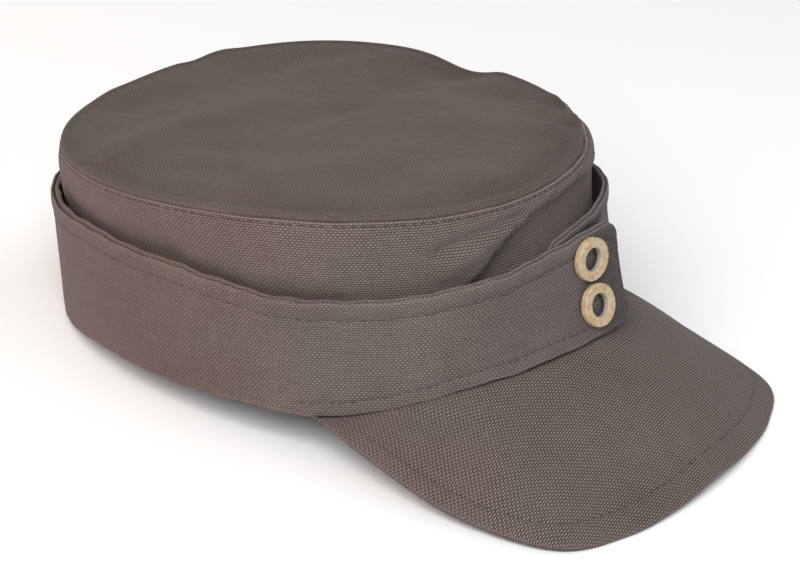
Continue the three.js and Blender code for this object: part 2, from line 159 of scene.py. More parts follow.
# The flap, along its strip in degrees: heights of its edges, and how far its lower and upper edges
# stand outside the rim.
FLAP = table(
    "along low high out lean",
    (-8, 7.6, 43.8, 1.5, -4.0),
    (4, 7.6, 44.5, 1.7, -4.2),
    (15, 6.5, 45.2, 2.4, -3.4),
    (30, 3.4, 45.6, 3.4, -0.4),
    (60, -1.9, 43.1, 4.0, 4.4),
    (90, -0.6, 42.1, 3.2, 5.0),
    (120, 0.1, 42.1, 2.2, 4.7),
    (150, -0.2, 42.0, 1.7, 4.2),
    (180, -0.6, 42.4, 1.6, 3.8),
    (210, -0.7, 44.6, 1.5, 3.8),
    (240, 1.4, 45.4, 1.9, 5.2),
    (270, -1.2, 41.3, 3.2, 4.6),
    (285, -2.5, 37.3, 4.1, 4.2),
    (300, -3.6, 35.3, 4.8, 3.6),
    (330, 4.4, 38.1, 4.4, 1.4),
    (345, 6.8, 41.0, 3.9, -0.4),
    (353, 7.2, 42.4, 4.0, -1.0),
    (361, 7.4, 43.4, 5.8, 0.6),
    (367, 7.3, 43.6, 7.7, 2.6),
    (372, 7.2, 43.6, 9.4, 4.3),
)
FLAP_FLARE = 1.7  # power of the curve from its lower to its upper edge
FLAP_LIP_SHARE = 0.75  # share of its height where the upper edge starts to roll out
FLAP_LIP_OUT = 1.0
FLAP_CORNERS = {"start": 6.0, "end": 8.5, "lower": 6.0}

# One half of the peak, by azimuth: how far out its edge lies, and how far below the rim.
PEAK = table(
    "azimuth reach drop",
    (0, 152.7, -33.6),
    (10, 153.4, -35.0),
    (20, 155.0, -35.4),
    (30, 154.2, -32.3),
    (40, 134.8, -25.2),
    (50, 114.0, -13.8),
    (59, 97.0, -5.8),
    (61.5, 93.0, -4.4),
)
PEAK_SPREAD = PEAK["azimuth"][-1]
PEAK_SAG = {"azimuth": 35.0, "width": 13.0, "drop": 1.5}
PEAK_THICKNESS = 3.0
PEAK_UNDER_FLAP = 1.0
PEAK_ROOT_OUT = -1.1
PEAK_BOW = 1.4
PEAK_SHOULDER = {"azimuth": 39.0, "width": 13.0, "rise": 1.0, "share": 0.32, "fade": 0.2}

# Rows of stitches: distance from the edge of the piece, width of the groove that they draw, its
# depth, and how much deeper it is at each stitch.
CROWN_ROW = {"at": 1.3, "width": 0.5, "depth": 0.12, "pull": 0.12}
FLAP_UPPER_ROW = {"at": 6.0, "width": 0.6, "depth": 0.3, "pull": 0.14}
FLAP_LOWER_ROW = {"at": 4.6, "width": 0.6, "depth": 0.26, "pull": 0.14}
PEAK_ROW = {"at": 8.5, "width": 0.7, "depth": 0.16, "pull": 0.1}
FLAP_LOWER_FROM = 292.0  # where the flap's lower row starts, in degrees along the strip
STITCH_SPACING = 3.4
# Puffs of turned-in cloth beside an edge.
CROWN_PUFF = {"at": 0.3, "width": 0.8, "height": 0.3}
FLAP_UPPER_PUFF = {"at": 3.2, "width": 2.0, "height": 0.22}
FLAP_LOWER_PUFF = {"at": 2.2, "width": 1.6, "height": 0.16}
PEAK_PUFF = {"at": 10.1, "width": 1.2, "height": 0.12}
# Height of each piece's gentle waves.
WAVES = {"crown": 0.25, "top": 0.3, "flap": 0.22, "peak": 0.12}
# Short gathers where the stitches tug the cloth: waves along the edge, their pitch wandering.
CROWN_TUGS = {"at": 4.5, "width": 3.2, "height": 0.14, "pitch": 2.6, "swing": 2.0, "drift": 19.0}
FLAP_TUGS = {"at": 7.5, "width": 2.6, "height": 0.12, "pitch": 2.3, "swing": 2.5, "drift": 31.0}

BUTTON_ALONG = 360.7
BUTTON_TURN = 4.0
BUTTON_HEIGHTS = {"upper": 35.2, "lower": 18.8}

# How the cap lies on the table: nose up, lifted and moved from its upright frame.
REST_TILT = math.radians(8.3)
REST_LIFT = 13.8
REST_BACK = -23.1
REST_SIDE = -0.2


# ---------------------------------------------------------------- sizes and colours


def in_mm(name, description, millimetres):
    """A length that a user may change."""
    return FloatProperty(
        name=name, description=description, default=millimetres * MM, precision=5, unit="LENGTH"
    )


def rgb(name, description, *default):
    """A colour that a user may change: linear red, green and blue."""
    return FloatVectorProperty(name=name, description=description, default=default, subtype="COLOR")


class CapSizes(bpy.types.PropertyGroup):
    """Sizes, in millimetres, that change how the cloth and its fittings are finished."""

    wall_cloth: in_mm(
        "Crown cloth", "Thickness of the crown wall's cloth, seam allowance included", 1.7
    )
    top_cloth: in_mm("Top cloth", "Thickness of the top panel's cloth", 1.4)
    flap_cloth: in_mm("Flap cloth", "Thickness of the flap's two layers together", 1.8)
    warp_pitch: in_mm("Warp pitch", "Distance from one upright thread of the weave to the next", 0.74)
    weft_pitch: in_mm("Weft pitch", "Distance from one level thread of the weave to the next", 0.83)
    stitch_pitch: in_mm("Stitch pitch", "Distance from one machine stitch to the next", 3.4)
    stitch_length: in_mm("Stitch length", "Length of thread that shows in each stitch", 2.0)
    stitch_width: in_mm("Stitch width", "Width of the sewing thread", 0.48)
    button_radius: in_mm("Button radius", "Outer radius of a ring button", 7.5)
    button_hole: in_mm("Button hole", "Radius of the hole through a ring button", 4.1)
    button_thickness: in_mm("Button thickness", "Thickness of a ring button", 2.5)
    strands: IntProperty(
        name="Strands",
        description="Threads that cross the hole of each button",
        default=5,
        min=2,
        max=12,
    )


class CapColours(bpy.types.PropertyGroup):
    """Colours of the cloth, the fittings and the stage."""

    cloth: rgb("Cloth", "Raised threads of the canvas", 0.23, 0.194, 0.179)
    cloth_shade: rgb("Cloth shade", "Hollows between the threads", 0.014, 0.0105, 0.01)
    # Tint of the cloth's random warm patches, and of the painted warm light towards the back.
    warm_patch_and_light_tint: rgb("Cloth warmth", "Tint of the warmer patches of the canvas", 1.0, 0.8, 0.74)
    button: rgb("Button", "Pale wood of the ring buttons", 0.46, 0.37, 0.235)
    button_grain: rgb("Button grain", "Darker, redder streaks in the button wood", 0.36, 0.215, 0.12)
    thread: rgb("Sewing thread", "Thread of the machine stitches", 0.04, 0.026, 0.022)
    # Painted light on the wall of a button's hole.
    button_hole_light: rgb(
        "Hole of the button", "Bare, greyer wood of the wall of a button's hole", 0.36, 0.31, 0.255
    )
    button_thread: rgb(
        "Button thread", "Greyish thread that the buttons are sewn on with", 0.1, 0.096, 0.08
    )
    floor: rgb("Floor", "The table that the cap rests on", 0.93, 0.93, 0.93)


# ---------------------------------------------------------------- curves and ovals


def through(places, values, period=0.0):
    """A smooth curve through two columns of a table. With a period it closes on itself."""
    x = np.asarray(places, float)
    y = np.asarray(values, float)
    if period:
        x = np.concatenate([x[-2:] - period, x, x[:2] + period])
        y = np.concatenate([y[-2:], y, y[:2]])
    slope = np.empty_like(x)
    slope[1:-1] = (y[2:] - y[:-2]) / (x[2:] - x[:-2])
    slope[0] = (y[1] - y[0]) / (x[1] - x[0])
    slope[-1] = (y[-1] - y[-2]) / (x[-1] - x[-2])
    start = x[2] if period else 0.0

    def curve(place):
        p = np.asarray(place, float)
        if period:
            p = start + (p - start) % period
        i = np.clip(np.searchsorted(x, p) - 1, 0, len(x) - 2)
        span = x[i + 1] - x[i]
        t = np.clip((p - x[i]) / span, 0, 1)
        rise = y[i + 1] - y[i]
        bend0 = slope[i] * span - rise
        bend1 = rise - slope[i + 1] * span
        return y[i] + rise * t + t * (1 - t) * (bend0 + (bend1 - bend0) * t)

    return curve


def curves(rows, place, names, period=0.0):
    """Smooth curves through several columns of one table."""
    return [through(rows[place], rows[name], period) for name in names.split()]


def bell(distance, width):
    return np.exp(-((distance / width) ** 2))


def ease(t):
    t = np.clip(t, 0, 1)
    return t * t * (3 - 2 * t)


def mix(a, b, t):
    return a + (b - a) * t


def unit(vectors):
    """The same directions, each of length 1."""
    return vectors / np.linalg.norm(vectors, axis=-1, keepdims=True)


def turned(azimuth, middle):
    """Degrees from a middle azimuth, the shorter way round."""
    return (azimuth - middle + 540) % 360 - 180


def distance_to_line(x, y, x0, y0, x1, y1):
    """Distance from points of the plane to a segment, and which side of it they lie on."""
    dx, dy = x1 - x0, y1 - y0
    share = np.clip(((x - x0) * dx + (y - y0) * dy) / (dx * dx + dy * dy), 0, 1)
    side = ((y - y0) * dx - (x - x0) * dy) / math.hypot(dx, dy)
    return np.hypot(x - x0 - share * dx, y - y0 - share * dy), side


def oval_point(oval, azimuth, outward=0.0):
    """Points of an oval at azimuths in degrees, pushed outward square to it."""

    def at(angle):
        c = np.cos(np.radians(angle))
        s = np.sin(np.radians(angle))
        power = oval["power"]
        reach = (np.abs(c / oval["length"]) ** power + np.abs(s / oval["width"]) ** power) ** (-1 / power)
        x = reach * c
        return x + oval["shift"], reach * s * (1 + oval["egg"] * x / oval["length"])

    x0, y0 = at(azimuth - 0.5)
    x1, y1 = at(azimuth + 0.5)
    length = np.hypot(x1 - x0, y1 - y0)
    x, y = at(azimuth)
    return x + (y1 - y0) / length * outward, y - (x1 - x0) / length * outward


# Length round the rim from the front, so that threads and stitches are evenly spaced.
_turns = np.linspace(-360, 720, 2161)
_rim_x, _rim_y = oval_point(RIM, _turns)
_run = np.concatenate([[0], np.cumsum(np.hypot(np.diff(_rim_x), np.diff(_rim_y)))])
GIRTH = _run[_turns.searchsorted(360)] - _run[_turns.searchsorted(0)]
_run -= _run[_turns.searchsorted(0)]


def girth_at(azimuth):
    """Millimetres round the rim from the front to an azimuth."""
    return np.interp(azimuth, _turns, _run)


def azimuth_at(girth):
    """Azimuth at a length round the rim."""
    return np.interp(girth, _run, _turns)


def unevenness(u, v, size):
    """Gentle waves of hand-sewn cloth; u and v in millimetres, about plus or minus size."""
    return size * (
        0.45 * np.sin(u / 9.1 + 1.3 * np.sin(v / 17.0) + 0.4)
        + 0.35 * np.sin(v / 6.7 + 1.1 * np.sin(u / 23.0) + 2.1)
        + 0.3 * np.sin((u + 1.7 * v) / 13.3 + 0.9)
        + 0.2 * np.sin((1.9 * u - v) / 7.9 + 4.0)
    )


def pucker(girth):
    """How far the cloth is drawn in along a row of stitches: 1 at a stitch, 0 between two."""
    return 0.5 + 0.5 * np.cos(girth / STITCH_SPACING * 2 * np.pi)


def groove(distance, girth, row):
    """Depth of a row's groove, at a distance from the edge that the row follows."""
    return (row["depth"] + row["pull"] * pucker(girth)) * bell(distance - row["at"], row["width"])


def puff(distance, shape):
    return shape["height"] * bell(distance - shape["at"], shape["width"])


def tugs(distance, girth, shape):
    waves = np.sin(girth / shape["pitch"] + shape["swing"] * np.sin(girth / shape["drift"]))
    return waves * puff(distance, shape)


def to_rest(points):
    """Lays upright points back into the resting pose, in metres. Cloth that would reach below
    the table is flattened onto it."""
    x, y, z = points[..., 0], points[..., 1], points[..., 2]
    cos, sin = math.cos(REST_TILT), math.sin(REST_TILT)
    rested = np.stack(
        [
            x * cos - z * sin + REST_BACK,
            y + REST_SIDE,
            np.maximum(x * sin + z * cos + REST_LIFT, 0),
        ],
        axis=-1,
    )
    return rested * MM


# ---------------------------------------------------------------- crown shapes

wall_rim, wall_wave, wall_belly = curves(WALL, "azimuth", "rim seam belly", 360)
(top_rim_painted_shade,) = curves(TOP_RIM_PAINTED_SHADE, "azimuth", "tone", 360)


def seam_lumps(azimuth):
    """How far the gathered seam stands above or below its smooth run."""
    lift = 0 * azimuth
    for middle, width, rise in zip(*SEAM_LUMPS.values()):
        lift = lift + rise * bell(turned(azimuth, middle), width)
    return lift


def seam_height(azimuth):
    """Height of the crown seam, with its lumps and its dent."""
    x, y = oval_point(SEAM, azimuth)
    dent = TOP_DENT["depth"] * bell(np.hypot(x - TOP_DENT["x"], y - TOP_DENT["y"]), TOP_DENT["width"])
    return SEAM_HEIGHT + SEAM_SLOPE * x + wall_wave(azimuth) + seam_lumps(azimuth) - dent


def wall_point(azimuth, share, inset=0.0):
    """The crown wall's faces; share is 0 at the rim and 1 at the seam, inset goes inward."""
    azimuth, share, inset = np.broadcast_arrays(azimuth, share, inset)
    azimuth = azimuth.astype(float)
    height = mix(wall_rim(azimuth), seam_height(azimuth), share)
    rising = ease((share - BELLY_FROM) / (BELLY_FULL - BELLY_FROM))
    over = np.clip((share - BELLY_FULL) / (1 - BELLY_FULL), 0, 1)
    bulge = wall_belly(azimuth) * rising * np.sqrt(1 - over**2) - WALL_TUCK * (1 - share)
    mean_radius = (RIM["length"] + RIM["width"]) / 2
    dent, swell = 0 * height, 0 * height
    for start, start_z, end, end_z, depth, above, below in zip(*WALL_CREASES.values()):
        distance, side = distance_to_line(
            np.radians(turned(azimuth, start) + start) * mean_radius,
            height,
            math.radians(start) * mean_radius,
            start_z,
            math.radians(end) * mean_radius,
            end_z,
        )
        width = mix(below, above, ease(side / above + 0.5))
        push = depth * bell(distance, width) * (1 - share**CREASE_HOLD)
        dent = np.maximum(dent, push)
        swell = np.minimum(swell, push)
    outward = bulge - dent - swell - inset
    low_x, low_y = oval_point(RIM, azimuth, outward)
    high_x, high_y = oval_point(SEAM, azimuth, outward)
    return np.stack([mix(low_x, high_x, share), mix(low_y, high_y, share), height], axis=-1)


def wall_surface(azimuth, drop, inset=0.0):
    """The crown wall with its finer relief; drop is millimetres below the seam."""
    tall = seam_height(azimuth) - wall_rim(azimuth)
    share = 1 - drop / tall
    girth = girth_at(azimuth)
    relief = unevenness(girth, drop, WAVES["crown"]) * ease(drop / 12)
    relief = relief - groove(drop, girth, CROWN_ROW)
    relief = relief + tugs(drop, girth, CROWN_TUGS) + puff(drop, CROWN_PUFF)
    edge = np.clip(1 - drop / WALL_TOP_ROUND, 0, 1)
    relief = relief - WALL_TOP_ROUND * (1 - np.sqrt(1 - edge**2))
    return wall_point(azimuth, share, inset - relief * (inset == 0))


def top_height(x, y, edge_height, inward):
    """Height of the top panel: its dome, its ridges and hollows, and the dent at its edge."""
    held = 10.0  # distance from the seam over which it holds the cloth down
    height = edge_height + TOP_DOME["rise"] * ease(inward / TOP_DOME["width"])
    for mid_x, mid_y, turn, length, width, rise in zip(*TOP_RIDGES.values()):
        half_x = -math.sin(math.radians(turn)) * length / 2
        half_y = math.cos(math.radians(turn)) * length / 2
        distance, _ = distance_to_line(
            x, y, mid_x - half_x, mid_y - half_y, mid_x + half_x, mid_y + half_y
        )
        height = height + rise * bell(distance, width) * ease(inward / held)
    from_dent = np.hypot(x - TOP_DENT["x"], y - TOP_DENT["y"])
    dent = 0.6 * TOP_DENT["depth"] * bell(from_dent, TOP_DENT["width"])
    return height - dent * np.minimum(inward / held, 1)


# ---------------------------------------------------------------- flap shapes

flap_low, flap_high, flap_out, flap_lean = curves(FLAP, "along", "low high out lean")
FLAP_START = FLAP["along"][0]
FLAP_END = FLAP["along"][-1]


def corner_cut(radius, from_end):
    """How much a round corner takes off an edge, at a distance from the end of the strip."""
    inside = np.clip(radius - from_end, 0, radius)
    return radius - np.sqrt(radius**2 - inside**2)


def flap_edges(along):
    """Heights of the flap's lower and upper edge, a little wavy, with their round corners. The
    lower edge comes down to the peak at its side."""
    per_degree = math.radians(1) * RIM["length"]
    from_start = (along - FLAP_START) * per_degree
    from_end = (FLAP_END - along) * per_degree
    worn = 0.3 * np.sin(along / 3.4 + 1.4 * np.sin(along / 11)) + 0.2 * np.sin(along / 1.3 + 2)
    low = flap_low(along) + 0.6 * worn - 0.5 * bell(along - 308, 14)
    low = low + corner_cut(FLAP_CORNERS["lower"], from_start)
    low = low + corner_cut(FLAP_CORNERS["lower"], from_end)
    high = flap_high(along) + worn - corner_cut(FLAP_CORNERS["start"], from_start)
    high = high - corner_cut(FLAP_CORNERS["end"], from_end)
    return low, high


def flap_stand(along, height):
    """How far the flap stands outside the rim's oval."""
    full = np.clip((height - flap_low(along)) / (flap_high(along) - flap_low(along)), 0, 1)
    curl = ease((full - FLAP_LIP_SHARE) / (1 - FLAP_LIP_SHARE))
    stand = mix(flap_lean(along), flap_out(along), (1 - full) ** FLAP_FLARE)
    return stand - FLAP_LIP_OUT * (1 - curl) * full


def flap_point(along, height, inset=0.0):
    """The flap's faces at a height above the rim plane; inset goes inward."""
    along, height, inset = np.broadcast_arrays(along, height, inset)
    x, y = oval_point(RIM, along, flap_stand(along, height) - inset)
    return np.stack([x, y, height], axis=-1)


def flap_relief(along, height):
    """Stitched grooves, the puff of the turned-in edge and gentle waves on the flap."""
    low, high = flap_edges(along)
    girth = girth_at(along)
    below_top = high - height
    above_low = height - low
    relief = unevenness(girth, height, WAVES["flap"]) * ease(below_top / 8) * ease(above_low / 6)
    relief = relief - groove(below_top, girth, FLAP_UPPER_ROW)
    relief = relief + puff(below_top, FLAP_UPPER_PUFF) + tugs(below_top, girth, FLAP_TUGS)
    lower = puff(above_low, FLAP_LOWER_PUFF) - groove(above_low, girth, FLAP_LOWER_ROW)
    return relief + lower * ease((along - FLAP_LOWER_FROM) / 3)


# ---------------------------------------------------------------- peak shapes

# The other half is its mirror image.
both_halves = {name: np.concatenate([column[:0:-1], column]) for name, column in PEAK.items()}
both_halves["azimuth"] = np.concatenate([-PEAK["azimuth"][:0:-1], PEAK["azimuth"]])
peak_reach, peak_drop = curves(both_halves, "azimuth", "reach drop")
PEAK_END = 11.0  # degrees over which each end of the peak gets thinner
PEAK_END_SHARE = 0.25
FOLD_ROWS = 7  # rows of the edge that belong to the upper cloth
PEAK_GRAIN_TURN = 5.0  # degrees between the cloth's straight grain and the cap's middle
GRAIN_STRETCH = (0.84, 0.98)  # the cloth is drawn longer and wider over the core


def peak_top(azimuth, share):
    """Points of the peak's upper face, and its length from root to edge."""
    side = np.abs(azimuth)
    root_x, root_y = oval_point(RIM, azimuth, PEAK_ROOT_OUT)
    rim_x, rim_y = oval_point(RIM, azimuth, flap_out(360 - side))
    reach = peak_reach(azimuth)
    edge_x = np.cos(np.radians(azimuth)) * reach
    edge_y = np.sin(np.radians(azimuth)) * reach
    full = np.hypot(edge_x - root_x, edge_y - root_y)
    under_flap = np.hypot(rim_x - root_x, rim_y - root_y) / full
    beyond = (share - under_flap) / (1 - under_flap)
    sag = PEAK_SAG["drop"] * bell(azimuth - PEAK_SAG["azimuth"], PEAK_SAG["width"])
    edge_height = peak_drop(azimuth) - sag + PEAK_THICKNESS / 2
    bow = PEAK_BOW * (1 - (azimuth / PEAK_SPREAD) ** 4)
    line = flap_low(360 - side) - PEAK_UNDER_FLAP
    height = np.where(
        beyond < 0,
        line,
        mix(line, edge_height, beyond) + bow * 4 * beyond * (1 - beyond),
    )
    slope_length = np.hypot(full, line - edge_height)
    point = np.stack([mix(root_x, edge_x, share), mix(root_y, edge_y, share), height], axis=-1)
    return point, slope_length


def peak_point(azimuth, share, depth):
    """A point of the peak below its upper face, square to it. The peak thins towards its ends,
    where it runs out under the flap."""
    azimuth, share, depth = np.broadcast_arrays(azimuth, share, depth)
    to_end = (PEAK_SPREAD - np.abs(azimuth)) / PEAK_END
    depth = depth * np.where(depth > 0, mix(PEAK_END_SHARE, 1, ease(to_end)), 1)
    step = 0.01
    point, _ = peak_top(azimuth, share)
    outward = peak_top(azimuth, share + step)[0] - peak_top(azimuth, share - step)[0]
    sideways = peak_top(azimuth + 1, share)[0] - peak_top(azimuth - 1, share)[0]
    normal = unit(np.cross(outward, sideways))
    normal = normal * np.sign(normal[..., 2:])
    return point - normal * depth[..., None]


def peak_relief(azimuth, share):
    """The stitched line near the edge, the turned-in cloth outside it, gentle waves, and a swell at
    the root that meets the flap on either side."""
    point, slope_length = peak_top(azimuth, share)
    from_edge = (1 - share) * slope_length
    girth = girth_at(azimuth) * 1.3  # the row lies further out than the rim
    relief = unevenness(point[..., 0], point[..., 1], WAVES["peak"]) * ease(from_edge / 6)
    relief = relief - groove(from_edge, girth, PEAK_ROW) + puff(from_edge, PEAK_PUFF)
    relief = relief + 0.2 * ease((PEAK_ROW["at"] - from_edge) / 1.6)
    rise = PEAK_SHOULDER["rise"] * ease((PEAK_SHOULDER["share"] - share) / PEAK_SHOULDER["fade"])
    return relief + rise * bell(np.abs(azimuth) - PEAK_SHOULDER["azimuth"], PEAK_SHOULDER["width"])


# ---------------------------------------------------------------- meshes


def link(name, mesh):
    piece = bpy.data.objects.new(name, mesh)
    bpy.context.scene.collection.objects.link(piece)
    return piece


def cloth_mesh(name, points, uv, tone, ring_closed, loop_closed):
    """A mesh over a grid of points: sections along the first axis, each a loop of points.
    uv has one more section or point than the grid wherever it closes on itself. The tone of each
    point lightens the cloth above 0 and darkens it below 0: wear and pressed stitch rows, and also
    painted highlights on folds and painted shade in grooves and hollows."""
    sections, loop = points.shape[:2]
    steps = sections if ring_closed else sections - 1
    turns = loop if loop_closed else loop - 1
    i, j = np.meshgrid(np.arange(steps), np.arange(turns), indexing="ij")
    corners = [(i, j), (i + 1, j), (i + 1, j + 1), (i, j + 1)]
    quads = np.stack([(a % sections) * loop + b % loop for a, b in corners], axis=-1)
    quad_uv = np.stack([uv[a, b] for a, b in corners], axis=-2)
    mesh = bpy.data.meshes.new(name)
    mesh.from_pydata(points.reshape(-1, 3).tolist(), [], quads.reshape(-1, 4).tolist())
    layer = mesh.uv_layers.new(name="weave")
    layer.data.foreach_set("uv", quad_uv.astype(np.float32).ravel())
    shade = mesh.attributes.new("tone", "FLOAT", "POINT")
    shade.data.foreach_set("value", (tone + 0 * points[..., 0]).astype(np.float32).ravel())
    return mesh


def close_up(mesh):
    """Welds pinched ends, drops faces without area and points every face outward."""
    work = bmesh.new()
    work.from_mesh(mesh)
    bmesh.ops.remove_doubles(work, verts=work.verts, dist=0.004 * MM)
    bmesh.ops.dissolve_degenerate(work, edges=work.edges, dist=0.001 * MM)
    open_edges = [edge for edge in work.edges if edge.is_boundary]
    if open_edges:
        bmesh.ops.holes_fill(work, edges=open_edges, sides=0)
    if work.calc_volume(signed=True) < 0:
        bmesh.ops.reverse_faces(work, faces=work.faces)
    for face in work.faces:
        face.smooth = True
    work.to_mesh(mesh)
    work.free()
    mesh.validate()


def dress(piece, material, node=None):
    """Gives a piece its finish, and its place in the model where it stands for a node."""
    piece.data.materials.append(material)
    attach(piece, BODY)
    if node:
        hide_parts(node)


def finish_cloth(name, mesh, cut, node):
    """Makes a piece of a cloth mesh, in the finish of its cut."""
    close_up(mesh)
    piece = link(name, mesh)
    dress(piece, canvas_material(cut), node)


def girth_steps(start, end, spacing):
    """Azimuths evenly spaced along the rim, from one azimuth to another."""
    first, last = girth_at(start), girth_at(end)
    return azimuth_at(np.linspace(first, last, round((last - first) / spacing) + 1))


# ---------------------------------------------------------------- materials


class Value:
    """A shader socket that takes part in sums: each sum adds a Math node."""

    def __init__(self, graph, socket):
        self.graph = graph
        self.socket = socket

    def _math(self, operation, first, second=None):
        node = self.graph.node("ShaderNodeMath", {"operation": operation}, {0: first})
        if second is not None:
            self.graph.feed(node.inputs[1], second)
        return Value(self.graph, node.outputs[0])

    def __add__(self, other):
        return self._math("ADD", self, other)

    __radd__ = __add__

    def __sub__(self, other):
        return self._math("SUBTRACT", self, other)

    def __rsub__(self, other):
        return self._math("SUBTRACT", other, self)

    def __mul__(self, other):
        return self._math("MULTIPLY", self, other)

    __rmul__ = __mul__

    def __truediv__(self, other):
        return self._math("DIVIDE", self, other)

    def __pow__(self, other):
        return self._math("POWER", self, other)

    def __abs__(self):
        return self._math("ABSOLUTE", self)

    def sine(self):
        return self._math("SINE", self)

    def floor(self):
        return self._math("FLOOR", self)

    def sign(self):
        return self._math("SIGN", self)

    def larger(self, other):
        return self._math("MAXIMUM", self, other)

    def clamped(self):
        node = self.graph.node("ShaderNodeClamp", {}, {0: self})
        return Value(self.graph, node.outputs[0])


class Graph:
    """A material's node tree."""

    def __init__(self, name):
        self.material = bpy.data.materials.new(name)
        self.material.use_nodes = True
        self.tree = self.material.node_tree
        self.shader = next(n for n in self.tree.nodes if n.type == "BSDF_PRINCIPLED")

    def feed(self, socket, value):
        if isinstance(value, Value):
            self.tree.links.new(value.socket, socket)
        elif isinstance(value, bpy.types.NodeSocket):
            self.tree.links.new(value, socket)
        else:
            socket.default_value = value

    def node(self, kind, settings, sockets):
        """Adds a node: its settings first, then the values or links of its sockets."""
        node = self.tree.nodes.new(kind)
        for name, value in settings.items():
            setattr(node, name, value)
        for name, value in sockets.items():
            self.feed(node.inputs[name], value)
        return node

    def value(self, kind, settings, sockets, output=0):
        return Value(self, self.node(kind, settings, sockets).outputs[output])

    def noise(self, vector, scale, detail=2.0, roughness=0.5):
        sockets = {"Vector": vector, "Scale": scale, "Detail": detail, "Roughness": roughness}
        return self.value("ShaderNodeTexNoise", {}, sockets, "Fac")

    def vector(self, x, y, z=0.0):
        return self.value("ShaderNodeCombineXYZ", {}, {"X": x, "Y": y, "Z": z})

    def mixed(self, factor, first, second, blend="MIX"):
        settings = {"data_type": "RGBA", "blend_type": blend}
        node = self.node("ShaderNodeMix", settings, {})
        inputs = {socket.identifier: socket for socket in node.inputs}
        self.feed(inputs["Factor_Float"], factor)
        self.feed(inputs["A_Color"], first)
        self.feed(inputs["B_Color"], second)
        return next(s for s in node.outputs if s.identifier == "Result_Color")

    def tinted(self, color, factor, tint):
        return self.mixed(factor, color, tint, "MULTIPLY")

    def finish(self, color, roughness, height=None, depth=0.0, strength=1.0):
        self.feed(self.shader.inputs["Base Color"], color)
        self.feed(self.shader.inputs["Roughness"], roughness)
        if height is not None:
            sockets = {"Strength": strength, "Distance": depth, "Height": height}
            bump = self.node("ShaderNodeBump", {}, sockets)
            self.feed(self.shader.inputs["Normal"], bump.outputs[0])


WARM_LIGHT_SPAN = 0.13  # metres from back to front over which the painted warm light fades, and the weave's contrast with it


def opaque(color, gain=1.0):
    return (color[0] * gain, color[1] * gain, color[2] * gain, 1.0)


# How each cut of cloth looks: how strongly its weave shows, how strongly its upright and its level
# threads stand out as ribs, how light it is, and its share of warm brown at front and back, which is
# painted warm light.
CUTS = {
    "crown": {"depth": 0.62, "warp": 0.5, "weft": 1.3, "gain": 0.92, "warm_light_front": 0.1, "warm_light_back": 1.1},
    # The top's low gain is painted shade: the top panel is lit less than the wall, flap and peak.
    "top": {"depth": 0.3, "warp": 0.6, "weft": 0.6, "gain": 0.74, "warm_light_front": 0.65, "warm_light_back": 0.8},
    "flap": {"depth": 0.56, "warp": 0.5, "weft": 1.1, "gain": 0.91, "warm_light_front": 0.0, "warm_light_back": 1.2},
    "peak": {"depth": 0.85, "warp": 1.2, "weft": 0.5, "gain": 0.89, "warm_light_front": 0.45, "warm_light_back": 0.6},
}
RIB_MEAN = 0.637  # mean of a sine wave's absolute value


